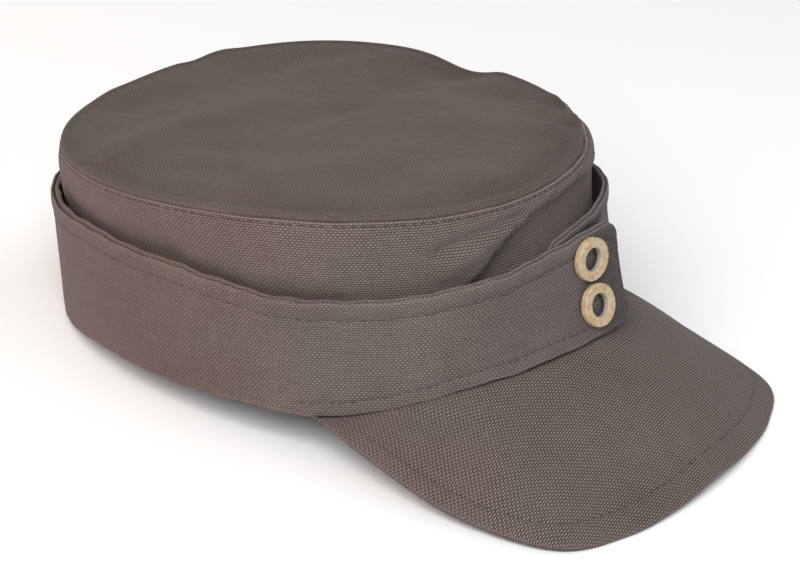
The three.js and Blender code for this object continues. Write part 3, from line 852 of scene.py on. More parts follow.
def canvas_material(cut):
    """Coarse plain-weave canvas on the piece's own weave map, in metres, for one cut of cloth. Its share
    of warm brown grows towards the back as painted warm light, over random warm patches of the cloth."""
    looks = CUTS[cut]
    gain = looks["gain"]
    sizes, colours = bpy.context.scene.cap_sizes, bpy.context.scene.cap_colours
    graph = Graph(f"{cut} canvas")
    uv = graph.node("ShaderNodeUVMap", {"uv_map": "weave"}, {}).outputs[0]
    place = graph.node("ShaderNodeSeparateXYZ", {}, {0: uv})
    u, v = Value(graph, place.outputs[0]), Value(graph, place.outputs[1])
    wander = graph.noise(uv, 40.0, 1.0) - 0.5
    warp = u / sizes.warp_pitch + wander * 1.8
    weft = v / sizes.weft_pitch + wander * 1.3
    across = (warp * math.pi).sine()
    up = (weft * math.pi).sine()
    # Each thread rises over one neighbour and dips under the next.
    warp_height = abs(across) ** 0.5 * (0.6 + across.sign() * up * 0.4)
    weft_height = abs(up) ** 0.5 * (0.42 - up.sign() * across * 0.42)
    height = warp_height.larger(weft_height)
    # The gaps beside the level threads are short dark dashes, offset from row to row.
    gap = (across * up * -1.0).clamped() ** 0.7 * abs(up) ** 1.5
    strands = graph.noise(graph.vector(warp.floor() * 7.31, v * 90.0), 1.0, 1.0)
    strands = strands + graph.noise(graph.vector(u * 90.0, weft.floor() * 5.17), 1.0, 1.0) - 1.0
    slubs = graph.noise(uv, 1300.0, 2.0) - 0.5
    fuzz = graph.noise(uv, 5200.0, 1.0) - 0.5
    patches = graph.noise(uv, 24.0, 3.0) - 0.5
    # The tone attribute: wear, and painted highlights and painted shade.
    wear_and_painted_light = Value(graph, graph.node("ShaderNodeAttribute", {"attribute_name": "tone"}, {}).outputs["Fac"])
    wear_and_painted_light = wear_and_painted_light * (graph.noise(uv, 260.0, 2.0) + 0.4)
    lie = graph.node("ShaderNodeTexCoord", {}, {}).outputs["Object"]
    forward = Value(graph, graph.node("ShaderNodeSeparateXYZ", {}, {0: lie}).outputs[0])
    backness = (0.5 - forward / WARM_LIGHT_SPAN).clamped()
    ribs = (abs(across) - RIB_MEAN) * looks["warp"] + (abs(up) - RIB_MEAN) * looks["weft"]
    weave = (ribs - (gap - 0.16) * 0.9) * (1.3 - backness * 0.5) * looks["depth"]
    shade = 0.47 + weave + strands * 0.16 + slubs * 0.34 + fuzz * 0.1 + patches * 0.24 + wear_and_painted_light * 0.4
    dark, light = opaque(colours.cloth_shade, gain), opaque(colours.cloth, gain)
    color = graph.mixed(shade.clamped(), dark, light)
    # Painted warm light: the warm tint grows from front to back.
    warm = looks["warm_light_front"] + backness * (looks["warm_light_back"] - looks["warm_light_front"])
    warm = warm + (graph.noise(uv, 30.0, 2.0) - 0.5) * 0.9
    color = graph.tinted(color, warm.clamped(), opaque(colours.warm_patch_and_light_tint))
    graph.finish(color, 0.9, height - gap * 0.5 + fuzz * 0.25, depth=0.3 * MM, strength=0.8)
    graph.shader.inputs["Sheen Weight"].default_value = 0.08
    graph.shader.inputs["Sheen Roughness"].default_value = 0.5
    graph.shader.inputs["Specular IOR Level"].default_value = 0.15
    return graph.material


def button_material(name):
    """Pale turned wood with faint rings of grain and pinkish patches."""
    colours = bpy.context.scene.cap_colours
    graph = Graph(name)
    place = graph.node("ShaderNodeTexCoord", {}, {}).outputs["Object"]
    patches = graph.noise(place, 620.0, 3.0, 0.6)
    specks = graph.noise(place, 2100.0, 2.0, 0.6)
    grain = graph.value(
        "ShaderNodeTexWave",
        {"wave_type": "BANDS", "bands_direction": "DIAGONAL"},
        {"Vector": place, "Scale": 300.0, "Distortion": 9.0, "Detail": 3.0, "Detail Scale": 1.4},
        "Fac",
    )
    shade = (patches * 3.4 - 1.5 + grain * 0.3 + (specks - 0.5) * 1.3).clamped()
    color = graph.mixed(shade, opaque(colours.button), opaque(colours.button_grain))
    # Painted light: the hole's wall is mixed to a pale grey wood colour.
    hole_wall_light = Value(graph, graph.node("ShaderNodeAttribute", {"attribute_name": "hole_wall_light"}, {}).outputs["Fac"])
    color = graph.mixed(hole_wall_light, color, opaque(colours.button_hole_light))
    height = grain * 0.4 + graph.noise(place, 900.0, 2.0) * 0.6
    graph.finish(color, 0.42 + patches * 0.15, height, depth=0.05 * MM, strength=0.5)
    return graph.material


def thread_material(name, colour):
    """Twisted sewing thread."""
    graph = Graph(name)
    place = graph.node("ShaderNodeTexCoord", {}, {}).outputs["Object"]
    fibre = graph.noise(place, 2600.0, 2.0)
    color = graph.mixed(fibre, opaque(colour, 0.5), opaque(colour, 1.7))
    graph.finish(color, 0.8, fibre, depth=0.05 * MM, strength=0.6)
    return graph.material


def floor_material(name):
    """Pale matt table top."""
    colours = bpy.context.scene.cap_colours
    graph = Graph(name)
    place = graph.node("ShaderNodeTexCoord", {}, {}).outputs["Object"]
    tone = graph.noise(place, 6.0, 2.0)
    color = graph.mixed(tone, opaque(colours.floor, 0.99), opaque(colours.floor))
    graph.finish(color, 0.9)
    return graph.material


# ---------------------------------------------------------------- operators


class CapOperator:
    """Shared settings of the cap's operators."""

    bl_options = {"REGISTER", "UNDO"}


class CAP_OT_crown_wall(CapOperator, bpy.types.Operator):
    """Make the crown's wall: one band of cloth with its bulges, creases and stitched seam"""

    bl_idname = "cap.crown_wall"
    bl_label = "Crown wall"

    def execute(self, context):
        thick = context.scene.cap_sizes.wall_cloth / MM
        azimuth = girth_steps(-180, 180, 1.0)[:-1, None]
        tall = seam_height(azimuth) - wall_rim(azimuth)
        # Rows below the seam, closest round the stitches.
        near = np.array([0, 0.1, 0.25, 0.45, 0.7, 0.95, 1.15, 1.3, 1.5, 1.8, 2.2, 2.8, 3.5, 4.5])
        far = near[-1] + (tall - near[-1]) * np.linspace(0, 1, 38)[1:]
        drops = np.concatenate([near + 0 * azimuth, far], axis=1)
        inner_drops = tall * np.linspace(0.985, 0.012, 16)
        outer = wall_surface(azimuth, drops)
        inner = wall_surface(azimuth, inner_drops, thick)
        down = np.concatenate([drops, 2 * tall - inner_drops, 2 * tall + thick], axis=1)
        down = np.concatenate([down, down[:1]])
        girth = girth_at(azimuth)
        girth = np.concatenate([girth, girth[:1] + GIRTH])
        uv = np.stack(np.broadcast_arrays(girth, -down), axis=-1) * MM
        # Darker along the stitch row; the wall's folded top edge is lightened, partly wear and partly
        # painted highlight.
        stitch_tone_and_ridge_highlight = -0.1 * bell(drops - CROWN_ROW["at"], 0.45) + 0.35 * bell(drops - 0.2, 0.5)
        tone = np.concatenate([stitch_tone_and_ridge_highlight, 0 * inner_drops], axis=1)
        points = to_rest(np.concatenate([outer, inner], axis=1))
        finish_cloth(
            "crown_wall_cloth",
            cloth_mesh("crown_wall_cloth", points, uv, tone, True, True),
            "crown",
            "crown_wall",
        )
        return {"FINISHED"}


class CAP_OT_crown_top(CapOperator, bpy.types.Operator):
    """Make the crown's oval top panel, slightly domed, with its turned edge"""

    bl_idname = "cap.crown_top"
    bl_label = "Crown top"

    def execute(self, context):
        thick = context.scene.cap_sizes.top_cloth / MM
        gap = 0.3  # between the panel and the wall's edge
        azimuth = girth_steps(-180, 180, 1.0)[:-1, None]
        edge_x, edge_y = oval_point(SEAM, azimuth)
        reach = np.hypot(edge_x - SEAM["shift"], edge_y)
        edge_height = seam_height(azimuth) + gap + thick
        middle_height = SEAM_HEIGHT + gap + thick + SEAM_SLOPE * SEAM["shift"]

        def face(inward, depth):
            ring = 1 - inward / reach
            x = mix(SEAM["shift"], edge_x, ring)
            y = edge_y * ring
            lumps = seam_lumps(azimuth)
            plane = mix(middle_height, edge_height - lumps, ring**2)
            height = top_height(x, y, plane, inward) + lumps * bell(inward, LUMP_REACH)
            waves = unevenness(x * 0.8, y * 0.8, WAVES["top"]) * ease(inward / 12)
            roll = 0.2 * bell(inward - 1.0, 0.9) - 0.3 * bell(inward - 3.6, 1.6)
            return np.stack([x, y, height + waves + roll - depth], axis=-1)

        # Rows in from the seam, closest at the edge.
        near = np.array([0.45, 0.8, 1.2, 1.7, 2.3, 3.0, 3.8, 4.7, 5.8, 7.2, 9.0])
        far = near[-1] + (reach - near[-1]) * np.linspace(0, 1, 41)[1:]
        upper_in = np.concatenate([near + 0 * azimuth, far], axis=1)
        lower_in = np.concatenate([reach * np.linspace(1, 0.1, 13), 0 * azimuth + 1.0], axis=1)
        # The edge rolls over the top of the wall.
        roll = table(
            "out drop",
            (-0.8, 1.8),
            (-0.1, 1.85),
            (0.15, 1.78),
            (0.3, 1.4),
            (0.34, 0.9),
            (0.26, 0.45),
            (0.1, 0.15),
        )
        rim = [
            np.stack([*oval_point(SEAM, azimuth, out), edge_height - drop], axis=-1)
            for out, drop in zip(*roll.values())
        ]
        points = np.concatenate([*rim, face(upper_in, 0.0), face(lower_in, thick)], axis=1)
        # The weave is straight over the panel and follows the roll down at its edge.
        uv = points[..., :2].copy()
        down = roll["drop"] + np.maximum(-roll["out"], 0)
        for i in range(len(rim)):
            uv[:, i] = np.concatenate(oval_point(SEAM, azimuth, down[i]), axis=1)
        uv = np.concatenate([uv, uv[:1]], axis=0)
        uv = np.concatenate([uv, uv[:, :1]], axis=1) * MM
        tone = np.concatenate(
            [
                0.12 * bell(roll["drop"] - 0.6, 0.7) + 0 * azimuth,
                # Painted shade darkens the panel's rim, more at some azimuths than at others.
                0.12 * bell(upper_in, 1.0) + top_rim_painted_shade(azimuth) * bell(upper_in - 3, 13),
                0 * lower_in,
            ],
            axis=1,
        )
        finish_cloth(
            "crown_top_cloth",
            cloth_mesh("crown_top_cloth", to_rest(points), uv, tone, True, True),
            "top",
            "crown_top",
        )
        return {"FINISHED"}


class CAP_OT_flap(CapOperator, bpy.types.Operator):
    """Make the turned-up flap: two layers of cloth, seamed at the top, lapped at the front"""

    bl_idname = "cap.flap"
    bl_label = "Flap"

    def execute(self, context):
        thick = context.scene.cap_sizes.flap_cloth / MM
        along = girth_steps(FLAP_START, FLAP_END, 0.9)
        per_degree = 1.7  # millimetres along the strip
        end_rows = np.array([0, 0.04, 0.12, 0.25, 0.42, 0.65, 1.0]) / per_degree
        along = np.concatenate([FLAP_START + end_rows, along[2:-2], FLAP_END - end_rows[::-1]])
        along = along[:, None]
        low, high = flap_edges(along)
        tall = high - low
        # Rows in from the two edges, closest at the edges and round the stitches.
        top_rows = np.array(
            [0.3, 0.55, 0.9, 1.4, 2.1, 3.0, 4.0, 4.8, 5.3, 5.6, 5.85, 6.1, 6.4, 7.0, 8.2]
        )
        low_rows = np.array([0.4, 0.8, 1.4, 2.2, 3.0, 3.6, 4.0, 4.3, 4.6, 4.9, 5.3, 6.5])
        between = low_rows[-1] + (tall - top_rows[-1] - low_rows[-1]) * np.linspace(0, 1, 22)[1:-1]
        rises = np.concatenate([low_rows + 0 * along, between, tall - top_rows[::-1]], axis=1)
        rises = np.clip(rises, 0.3, tall - 0.25)
        heights = low + rises
        # Thickness closes to a rounded edge at the two ends of the strip.
        end_gap = np.minimum(along - FLAP_START, FLAP_END - along) * per_degree
        fullness = np.sqrt(np.clip(1 - (1 - np.clip(end_gap, 0, 1)) ** 2, 0, 1))

        def layer(height, depth):
            return flap_point(along, height, thick / 2 + (depth - thick / 2) * fullness)

        outer = layer(heights, -flap_relief(along, heights))
        # Upper edge: the outer layer's fold, a groove, and the inner layer standing a bit higher.
        # Its tone column lightens the two folds, partly wear and partly painted highlight, and darkens
        # the groove between them with painted shade.
        lip = table(
            "depth rise tone hem",
            (0.04, -0.08, 0.4, 0),
            (0.22, 0.08, 0.5, 0),
            (0.5, 0.1, 0.4, 0),
            (0.74, -0.05, 0.0, 0),
            (0.84, -1.1, -1.0, 0),
            (1.16, -1.1, -1.0, 0.25),
            (1.24, 0.15, 0.0, 0.3),
            (1.45, 0.6, 0.4, 0.4),
            (1.9, 0.7, 0.4, 0.7),
            (2.25, 0.4, 0.1, 1),
            (2.36, -0.2, 0.0, 1),
            (2.3, -0.9, 0.0, 0.8),
        )
        # The hem of the inner layer is heavier where the flap stands clear of the crown.
        heavy = 0.9 * ease((along - 60) / 20) * ease((305 - along) / 15)
        heavy = heavy * (1 + 0.35 * np.sin(along / 2.1 + 1.2 * np.sin(along / 7)))
        lips = [
            layer(high + rise * fullness, depth * thick / 1.8 + hem * heavy)
            for depth, rise, hem in zip(lip["depth"], lip["rise"], lip["hem"])
        ]
        # Low down, the hem of the inner layer is sewn to the crown wall.
        high_rows = 9.0 + (tall - 10.5) * np.linspace(1, 0, 9)
        hem_rows = np.array([8, 7, 6, 5.2, 4.5, 3.7, 3, 2.3, 1.7, 1.1, 0.6])
        inner_heights = low + np.concatenate([high_rows, hem_rows + 0 * along], axis=1)
        hem_height = np.maximum(low, wall_rim(along)) + 3.0
        hem = np.clip(2.6 - np.abs(inner_heights - hem_height), 0, 1) * ease((350 - along) / 4)
        to_wall = flap_stand(along, inner_heights) + WALL_TUCK - 0.05
        inner_depth = thick + (0.35 + 0.7 * heavy) * bell(high - inner_heights, 4.0)
        inner = layer(inner_heights, mix(inner_depth, np.maximum(inner_depth, to_wall), hem))
        # Lower edge: one round fold.
        fold = [
            layer(low + rise * fullness, share * thick + 0 * along)
            for share, rise in ((0.85, 0.15), (0.5, -0.05), (0.18, 0.12))
        ]
        points = np.concatenate([outer, *lips, inner, *fold], axis=1)
        steps = np.linalg.norm(np.diff(points, axis=1), axis=-1)
        run = np.concatenate([rises[:, :1], rises[:, :1] + np.cumsum(steps, axis=1)], axis=1)
        run = np.concatenate([run, run[:, -1:] + 0.5], axis=1)
        girth = girth_at(along)
        uv = np.stack(np.broadcast_arrays(girth, run + low), axis=-1) * MM
        sewn = bell(tall - rises - FLAP_UPPER_ROW["at"], 0.5)
        lower_row = ease((along - FLAP_LOWER_FROM) / 3)
        sewn = sewn + lower_row * bell(rises - FLAP_LOWER_ROW["at"], 0.5)
        worn = 0.35 * bell(tall - rises, 1.0) + 0.3 * bell(rises, 1.0)
        # Painted shadow: the underlap's outer face is darkened where the lap shades it.
        painted_lap_shade = ease((18 - along) / 6) * ease((tall - rises - 1.2) / 1.2)
        # Painted shade also darkens the free end of the lap, which faces away from the key light.
        painted_lap_shade = 1.7 * painted_lap_shade + 0.6 * ease((along - 360) / 5)
        outer_tone = worn - 0.1 * sewn - painted_lap_shade
        plain = np.zeros((len(along), inner_heights.shape[1] + len(fold)))
        tone = np.concatenate([outer_tone, lip["tone"] + 0 * along, plain], axis=1)
        finish_cloth(
            "flap_cloth",
            cloth_mesh("flap_cloth", to_rest(points), uv, tone, False, True),
            "flap",
            "flap",
        )
        return {"FINISHED"}


class CAP_OT_peak(CapOperator, bpy.types.Operator):
    """Make the peak: cloth drawn over a stiff core, stitched near its edge"""

    bl_idname = "cap.peak"
    bl_label = "Peak"

    def execute(self, context):
        fan = 1.43  # closer sections near both ends, where the outline turns
        azimuth = PEAK_SPREAD * np.sin(np.linspace(-fan, fan, 321)) / math.sin(fan)
        azimuth = azimuth[:, None]
        _, slope_length = peak_top(azimuth, 1.0)
        length = np.maximum(slope_length, 16)
        # Rows in from the edge, closest round the stitches.
        near = np.array(
            [12, 11.2, 10.6, 10.0, 9.6, 9.2, 8.9, 8.6, 8.3, 8.0, 7.6, 7.0, 6.2, 5.0, 3.6, 2.4, 1.5, 0.8]
        )
        near_share = 1 - near / length
        root_share = near_share[:, :1] * np.linspace(0, 1, 34)[:-1]
        shares = np.concatenate([root_share, near_share], axis=1)
        upper = peak_point(azimuth, shares, -peak_relief(azimuth, shares))
        # The edge is folded square round the core, with a fine seam under it.
        roll = table(
            "back depth tone",
            (0.42, -0.16, 0.3),
            (0.14, 0.02, 0.4),
            (0.0, 0.35, 0.2),
            (0.0, 1.0, -0.2),
            (0.02, 1.9, -0.25),
            (0.15, 2.5, -0.25),
            (0.5, 2.75, -0.2),
            (0.9, 2.6, -0.6),
            (1.3, 2.8, 0.0),
            (2.4, 2.95, 0.0),
        )
        edge = [
            peak_point(azimuth, 1 - back / length, depth)
            for back, depth in zip(roll["back"], roll["depth"])
        ]
        lower_share = (1 - 3.6 / length) * np.linspace(1, 0, 26)
        lower = peak_point(azimuth, lower_share, PEAK_THICKNESS)
        points = np.concatenate([upper, *edge, lower], axis=1)
        # The cloth is cut on straight grain and drawn over the core; round the edge it follows
        # the fold, and the lower cloth is a cut of its own from the seam on.
        step_x, step_z = np.diff(points[..., 0], axis=1), np.diff(points[..., 2], axis=1)
        forward = np.cumsum(np.sign(step_x) * np.hypot(step_x, step_z), axis=1)
        forward = points[:, :1, 0] + np.concatenate([0 * azimuth, forward], axis=1)
        turn = math.radians(PEAK_GRAIN_TURN)

        def on_grain(ahead, aside):
            """The threads' own directions, turned a little from the wearer's."""
            lifted = ahead + aside * math.sin(turn)
            return np.stack([lifted, aside * math.cos(turn) - ahead * math.sin(turn)], axis=-1)

        uv = on_grain(forward, points[..., 1])
        first, seam = upper.shape[1], upper.shape[1] + FOLD_ROWS
        steps = np.linalg.norm(np.diff(points[:, first - 1 : seam], axis=1), axis=-1)
        step_on = np.gradient(points[:, first - 1], axis=0)
        stride = np.hypot(step_on[:, 0], step_on[:, 1])
        outward = on_grain(step_on[:, 1] / stride, -step_on[:, 0] / stride)[:, None]
        uv[:, first:seam] = uv[:, first - 1 : first] + outward * np.cumsum(steps, axis=1)[..., None]
        uv = np.concatenate([uv, uv[:, :1]], axis=1) * MM * GRAIN_STRETCH
        from_edge = (1 - shares) * slope_length
        tone = np.concatenate(
            [
                0.3 * bell(from_edge, 1.0) - 0.1 * bell(from_edge - PEAK_ROW["at"], 0.5),
                roll["tone"] + 0 * azimuth,
                0 * lower_share,
            ],
            axis=1,
        )
        finish_cloth(
            "peak_cloth",
            cloth_mesh("peak_cloth", to_rest(points), uv, tone, False, True),
            "peak",
            "peak",
        )
        return {"FINISHED"}


def stitch_row(name, centres, ahead, normals, sizes, material):
    """One row of stitches: a short thread, modelled once, copied to every place of the row."""
    bpy.ops.object.select_all(action="DESELECT")
    bpy.ops.mesh.primitive_uv_sphere_add(segments=8, ring_count=6, radius=0.5)
    thread = bpy.context.object
    shape = np.array([v.co for v in thread.data.vertices])
    faces = [list(f.vertices) for f in thread.data.polygons]
    bpy.data.objects.remove(thread, do_unlink=True)
    long = shape[:, 2:] * sizes.stitch_length
    wide = shape[:, :1] * sizes.stitch_width
    tall = shape[:, 1:2] * sizes.stitch_width * 0.8
    points, every = [], []
    for i, (centre, step, normal) in enumerate(zip(centres, ahead, normals)):
        forward = unit(step)
        side = unit(np.cross(normal, forward))
        up = np.cross(forward, side)
        # Each stitch lies a little askew, and some are pulled shorter than others.
        skew = 0.07 * math.sin(1.9 * i + 0.6)
        pull = 1 + 0.14 * math.sin(3.7 * i)
        points.append(centre + long * pull * (forward + skew * side) + wide * side + tall * up)
        every += [[i * len(shape) + corner for corner in face] for face in faces]
    mesh = bpy.data.meshes.new(name)
    mesh.from_pydata(np.concatenate(points).tolist(), [], every)
    close_up(mesh)
    dress(link(name, mesh), material)


class CAP_OT_stitches(CapOperator, bpy.types.Operator):
    """Sew the rows of stitches: crown seam, both rows of the flap, and the peak"""

    bl_idname = "cap.stitches"
    bl_label = "Stitches"

    def execute(self, context):
        sizes = context.scene.cap_sizes
        pitch = sizes.stitch_pitch / MM
        material = thread_material("sewing thread", context.scene.cap_colours.thread)
        sink = sizes.stitch_width * 0.1

        def frames(surface, places):
            """Middles, directions and normals of a row, from a surface at places and offsets."""
            here = to_rest(surface(places, 0.0))
            ahead = to_rest(surface(places + 0.3, 0.0)) - here
            across = to_rest(surface(places, 0.4)) - here
            return here, ahead, unit(np.cross(ahead, across))

        def sew(name, surface, places):
            here, ahead, normal = frames(surface, places)
            stitch_row(name, here - normal * sink, ahead, normal, sizes, material)

        def row(name, surface, start, end):
            """A row that follows the rim, with its stitches a little unevenly spaced."""
            stitch = np.arange(int((girth_at(end) - girth_at(start)) / pitch))
            wander = 0.14 * np.sin(2.3 * stitch) + 0.1 * np.sin(5.1 * stitch + 1)
            sew(name, surface, azimuth_at(girth_at(start) + pitch * (stitch + 0.5 + wander)))

        def crown_seam(azimuth, offset):
            return wall_surface(azimuth, CROWN_ROW["at"] - offset)

        def on_flap(along, height):
            return flap_point(along, height, -flap_relief(along, height))

        def flap_upper(along, offset):
            return on_flap(along, flap_edges(along)[1] - FLAP_UPPER_ROW["at"] + offset)

        def flap_lower(along, offset):
            return on_flap(along, flap_edges(along)[0] + FLAP_LOWER_ROW["at"] + offset)

        def peak_edge(azimuth, offset):
            _, slope_length = peak_top(azimuth, 1.0)
            share = 1 - (PEAK_ROW["at"] + offset) / slope_length
            return peak_point(azimuth, share, -peak_relief(azimuth, share))

        row("crown_seam_stitches", crown_seam, -180, 180)
        row("flap_upper_stitches", flap_upper, -4, 359)
        row("flap_lower_stitches", flap_lower, FLAP_LOWER_FROM + 3, 359)

        # The peak's row is spaced along its own edge.
        fine = np.linspace(-50, 50, 801)
        path = to_rest(peak_edge(fine, 0.0))
        run = np.concatenate([[0], np.cumsum(np.linalg.norm(np.diff(path, axis=0), axis=1))])
        places = np.interp(np.arange(sizes.stitch_pitch, run[-1], sizes.stitch_pitch), run, fine)
        sew("peak_stitches", peak_edge, places)
        return {"FINISHED"}


def lap_seat(height):
    """Direction square to the lap's cloth at a height, turned as the rings sit on their thread."""

    def at(turn, rise):
        return to_rest(flap_point(BUTTON_ALONG + turn, height + rise))

    span = flap_high(BUTTON_ALONG) - flap_low(BUTTON_ALONG)
    across = at(2, 0) - at(-2, 0)
    upward = at(0, 0.12 * span) - at(0, -0.12 * span)
    normal = Vector(np.cross(across, upward)).normalized()
    return Matrix.Rotation(-math.radians(BUTTON_TURN), 3, "Z") @ normal


def seat_matrix(node, height, sink=0.0):
    """Where a ring or its threads sit: the middle of the node, facing off the lap."""
    low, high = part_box(node)
    facing = lap_seat(height)
    middle = (Vector(low) + Vector(high)) / 2 - facing * sink
    return Matrix.Translation(middle) @ facing.to_track_quat("Z", "Y").to_matrix().to_4x4()


def select_faces(piece, wanted):
    """Selects the faces of a piece in edit mode by a test on each face."""
    work = bmesh.from_edit_mesh(piece.data)
    bpy.ops.mesh.select_all(action="DESELECT")
    for face in work.faces:
        face.select_set(wanted(face))
    work.select_flush_mode()
    bmesh.update_edit_mesh(piece.data)


def apply_modifier(piece, kind, settings):
    modifier = piece.modifiers.new(kind.lower(), kind)
    for name, value in settings.items():
        setattr(modifier, name, value)
    bpy.context.view_layer.objects.active = piece
    bpy.ops.object.modifier_apply(modifier=modifier.name)


def pick(*pieces):
    """Selects these pieces alone, the first of them active."""
    bpy.ops.object.select_all(action="DESELECT")
    for piece in pieces:
        piece.select_set(True)
    bpy.context.view_layer.objects.active = pieces[0]


def settle(piece, matrix):
    """Moves a piece to its seat and leaves its place in its mesh."""
    pick(piece)
    piece.matrix_world = matrix @ piece.matrix_world
    bpy.ops.object.transform_apply(location=True, rotation=True, scale=True)


def recalculate(piece):
    """Welds doubles and turns the faces outward."""
    pick(piece)
    bpy.ops.object.mode_set(mode="EDIT")
    bpy.ops.mesh.select_all(action="SELECT")
    bpy.ops.mesh.remove_doubles(threshold=0.01 * MM)
    bpy.ops.mesh.normals_make_consistent(inside=False)
    bpy.ops.object.mode_set(mode="OBJECT")


def ring_button(name, sizes):
    """One ring: a disc with a dished face, its hole bridged through, its edges rounded."""
    radius, hole, thick = sizes.button_radius, sizes.button_hole, sizes.button_thickness
    width = radius - hole
    bpy.ops.object.select_all(action="DESELECT")
    bpy.ops.mesh.primitive_cylinder_add(vertices=56, radius=radius, depth=thick)
    piece = bpy.context.object
    piece.name = name
    bpy.ops.object.mode_set(mode="EDIT")
    bpy.ops.mesh.select_mode(type="FACE")

    def inset_disc(facing, share, sink):
        """Insets the disc that faces up (1) or down (-1) by a share of the ring's width."""
        select_faces(piece, lambda face: len(face.verts) > 4 and face.normal.z * facing > 0.9)
        bpy.ops.mesh.inset(thickness=share * width)
        bpy.ops.transform.translate(value=(0, 0, -sink * thick))

    inset_disc(1, 0.3, 0)
    inset_disc(1, 0.45, 0.06)
    inset_disc(1, 0.25, -0.03)
    inset_disc(-1, 1, 0)
    # Hole: the two inner discs are bridged through.
    select_faces(piece, lambda face: len(face.verts) > 4)
    bpy.ops.mesh.bridge_edge_loops()
    bpy.ops.object.mode_set(mode="OBJECT")
    rounding = {
        "width": 0.15 * thick,
        "segments": 3,
        "limit_method": "ANGLE",
        "angle_limit": math.radians(50),
    }
    apply_modifier(piece, "BEVEL", rounding)
    recalculate(piece)
    bpy.ops.object.shade_smooth()
    # Painted light: the wall of the hole gets a pale grey wood colour for the light that it catches.
    hole_wall_light = piece.data.attributes.new("hole_wall_light", "FLOAT", "POINT")
    for vertex, mark in zip(piece.data.vertices, hole_wall_light.data):
        mark.value = 1.0 if vertex.co.to_2d().length < 1.04 * hole else 0.0
    return piece


class CAP_OT_buttons(CapOperator, bpy.types.Operator):
    """Turn the two ring buttons and set them on the lap"""

    bl_idname = "cap.buttons"
    bl_label = "Ring buttons"

    def execute(self, context):
        sizes = context.scene.cap_sizes
        material = button_material("button wood")
        for place, height in BUTTON_HEIGHTS.items():
            node = f"button_{place}"
            piece = ring_button(f"{node}_ring", sizes)
            settle(piece, seat_matrix(node, height))
            dress(piece, material, node)
        return {"FINISHED"}


def strand(name, length, radius, turn, lift):
    """One thread across a hole: a thin rod, arched over the middle."""
    bpy.ops.object.select_all(action="DESELECT")
    bpy.ops.mesh.primitive_cylinder_add(
        vertices=8, radius=radius, depth=length, rotation=(0, math.radians(90), 0)
    )
    piece = bpy.context.object
    piece.name = name
    bpy.ops.object.transform_apply(location=True, rotation=True, scale=True)
    bpy.ops.object.mode_set(mode="EDIT")
    bpy.ops.mesh.select_mode(type="FACE")
    select_faces(piece, lambda face: abs(face.normal.x) < 0.5)
    bpy.ops.mesh.subdivide(number_cuts=7)
    bpy.ops.object.mode_set(mode="OBJECT")
    for vertex in piece.data.vertices:
        share = 2 * vertex.co.x / length
        vertex.co.z += lift * (1 - share**2)
    piece.data.transform(Matrix.Rotation(turn, 4, "Z"))
    return piece


class CAP_OT_threads(CapOperator, bpy.types.Operator):
    """Sew the buttons on: threads that cross each hole, drawn down on a wound knot"""

    bl_idname = "cap.threads"
    bl_label = "Button threads"

    def execute(self, context):
        sizes = context.scene.cap_sizes
        material = thread_material("button thread", context.scene.cap_colours.button_thread)
        radius = 0.42 * MM
        for place, height in BUTTON_HEIGHTS.items():
            node = f"thread_{place}"
            rods = []
            for i in range(sizes.strands):
                turn = math.pi * (i + 0.3 * (i % 2)) / sizes.strands
                lift = (0.1 + 0.16 * i) * MM  # each thread lies over the one before
                rods.append(strand(f"strand_{i}", 1.84 * sizes.button_hole, radius, turn, lift))
            bpy.ops.object.select_all(action="DESELECT")
            bpy.ops.mesh.primitive_torus_add(
                major_radius=0.8 * sizes.button_hole,
                minor_radius=radius,
                major_segments=28,
                minor_segments=8,
            )
            pick(*rods, bpy.context.object)
            bpy.ops.object.join()
            piece = bpy.context.object
            piece.name = f"{node}_cross"
            bpy.ops.object.shade_smooth()
            settle(piece, seat_matrix(node, height, sink=1.2 * MM))
            dress(piece, material, node)
        return {"FINISHED"}


# Camera, relative to the upright cap: degrees turned from its front, raised and rolled; millimetres
# away, to the right and up; and the lens and sensor.
CAMERA = {"turn": 57.24, "raise": 21.37, "roll": -1.15, "distance": 1000.3, "right": 22.09, "up": 4.85}
LENS, SENSOR = 125.6, 36.0
# Soft lights, in metres and watts: place, size, power and colour.
LIGHTS = {
    "key": ((0.32, -1.2, 1.05), (1.2, 1.0), 28.5, (1.0, 1.0, 1.0)),
    "fill": ((1.45, -0.5, 0.8), (0.9, 0.9), 3.5, (0.8, 0.92, 1.0)),
    "side": ((-1.4, -0.65, 0.6), (0.9, 0.7), 6.0, (1.0, 0.6, 0.38)),
    "back": ((0.5, 1.3, 1.3), (1.2, 0.9), 8.0, (0.95, 0.98, 1.0)),
}
LIGHTS_AIM = (0, 0, 0.03)
WORLD_STRENGTH = 0.38


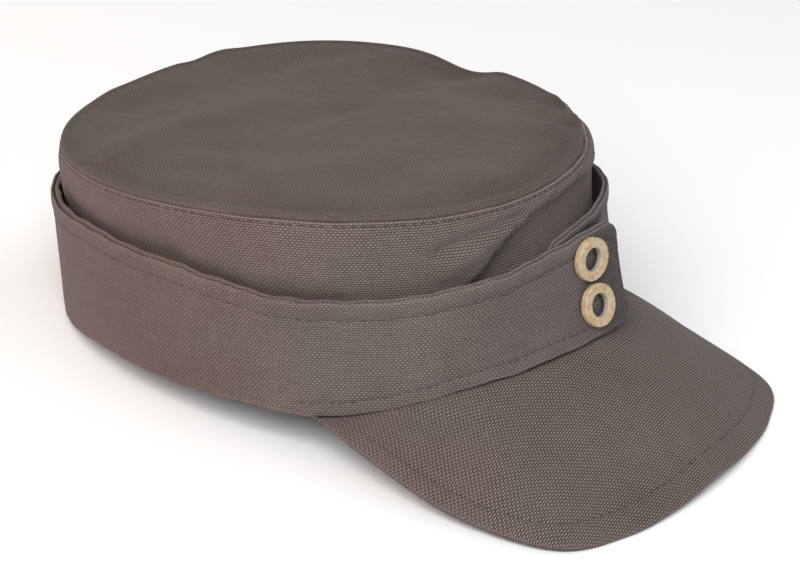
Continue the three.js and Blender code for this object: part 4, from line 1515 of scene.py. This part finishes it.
class CAP_OT_stage(CapOperator, bpy.types.Operator):
    """Set the pale table, the soft lights and the camera"""

    bl_idname = "cap.stage"
    bl_label = "Stage"

    def area_light(self, name, place, size, power, colour):
        data = bpy.data.lights.new(name, "AREA")
        data.shape = "RECTANGLE"
        data.size, data.size_y = size
        data.energy = power
        data.color = colour
        light = bpy.data.objects.new(name, data)
        bpy.context.scene.collection.objects.link(light)
        light.location = place
        aim = Vector(LIGHTS_AIM) - light.location
        light.rotation_euler = aim.to_track_quat("-Z", "Y").to_euler()

    def camera(self):
        turn, height, roll = (math.radians(CAMERA[k]) for k in ("turn", "raise", "roll"))
        level = np.array([math.sin(turn), math.cos(turn), 0.0])
        outward = np.array([math.cos(turn), -math.sin(turn), 0.0])
        back = outward * math.cos(height) + np.array([0.0, 0.0, math.sin(height)])
        above = np.cross(back, level)
        right = level * math.cos(roll) + above * math.sin(roll)
        up = above * math.cos(roll) - level * math.sin(roll)
        place = back * CAMERA["distance"] + right * CAMERA["right"] + up * CAMERA["up"]
        lay = Matrix.Rotation(-REST_TILT, 3, "Y")
        shift = Vector((REST_BACK, REST_SIDE, REST_LIFT))
        data = bpy.data.cameras.new("camera")
        data.lens = LENS
        data.sensor_width = SENSOR
        data.clip_end = 10.0
        camera = bpy.data.objects.new("camera", data)
        bpy.context.scene.collection.objects.link(camera)
        axes = Matrix([lay @ Vector(axis) for axis in (right, up, back)]).transposed()
        camera.matrix_world = Matrix.Translation((lay @ Vector(place) + shift) * MM) @ axes.to_4x4()
        bpy.context.scene.camera = camera

    def execute(self, context):
        bpy.ops.object.select_all(action="DESELECT")
        bpy.ops.mesh.primitive_plane_add(size=6.0, location=(0, 0, 0))
        floor = bpy.context.object
        floor.name = "table_top"
        floor.data.materials.append(floor_material("table"))
        for name, light in LIGHTS.items():
            self.area_light(name, *light)
        world = bpy.data.worlds.new("studio")
        world.use_nodes = True
        background = world.node_tree.nodes["Background"]
        background.inputs["Color"].default_value = (1.0, 1.0, 1.0, 1.0)
        background.inputs["Strength"].default_value = WORLD_STRENGTH
        context.scene.world = world
        context.scene.view_settings.view_transform = "Standard"
        self.camera()
        return {"FINISHED"}


# ---------------------------------------------------------------- panel and registration

STEPS = (
    CAP_OT_crown_wall,
    CAP_OT_crown_top,
    CAP_OT_flap,
    CAP_OT_peak,
    CAP_OT_stitches,
    CAP_OT_buttons,
    CAP_OT_threads,
    CAP_OT_stage,
)


class CAP_PT_panel(bpy.types.Panel):
    """Lists the cap's sizes, colours and steps"""

    bl_label = "Mountain cap"
    bl_idname = "CAP_PT_panel"
    bl_space_type = "VIEW_3D"
    bl_region_type = "UI"
    bl_category = "Cap"

    def draw(self, context):
        column = self.layout.column()
        for group in (context.scene.cap_sizes, context.scene.cap_colours):
            for name in type(group).__annotations__:
                column.prop(group, name)
        for step in STEPS:
            column.operator(step.bl_idname)


CLASSES = (CapSizes, CapColours, *STEPS, CAP_PT_panel)


def register():
    for cls in CLASSES:
        bpy.utils.register_class(cls)
    bpy.types.Scene.cap_sizes = PointerProperty(type=CapSizes)
    bpy.types.Scene.cap_colours = PointerProperty(type=CapColours)


def unregister():
    del bpy.types.Scene.cap_colours
    del bpy.types.Scene.cap_sizes
    for cls in reversed(CLASSES):
        bpy.utils.unregister_class(cls)


def main():
    register()
    for step in STEPS:
        group, name = step.bl_idname.split(".")
        getattr(getattr(bpy.ops, group), name)()


if __name__ == "__main__":
    main()
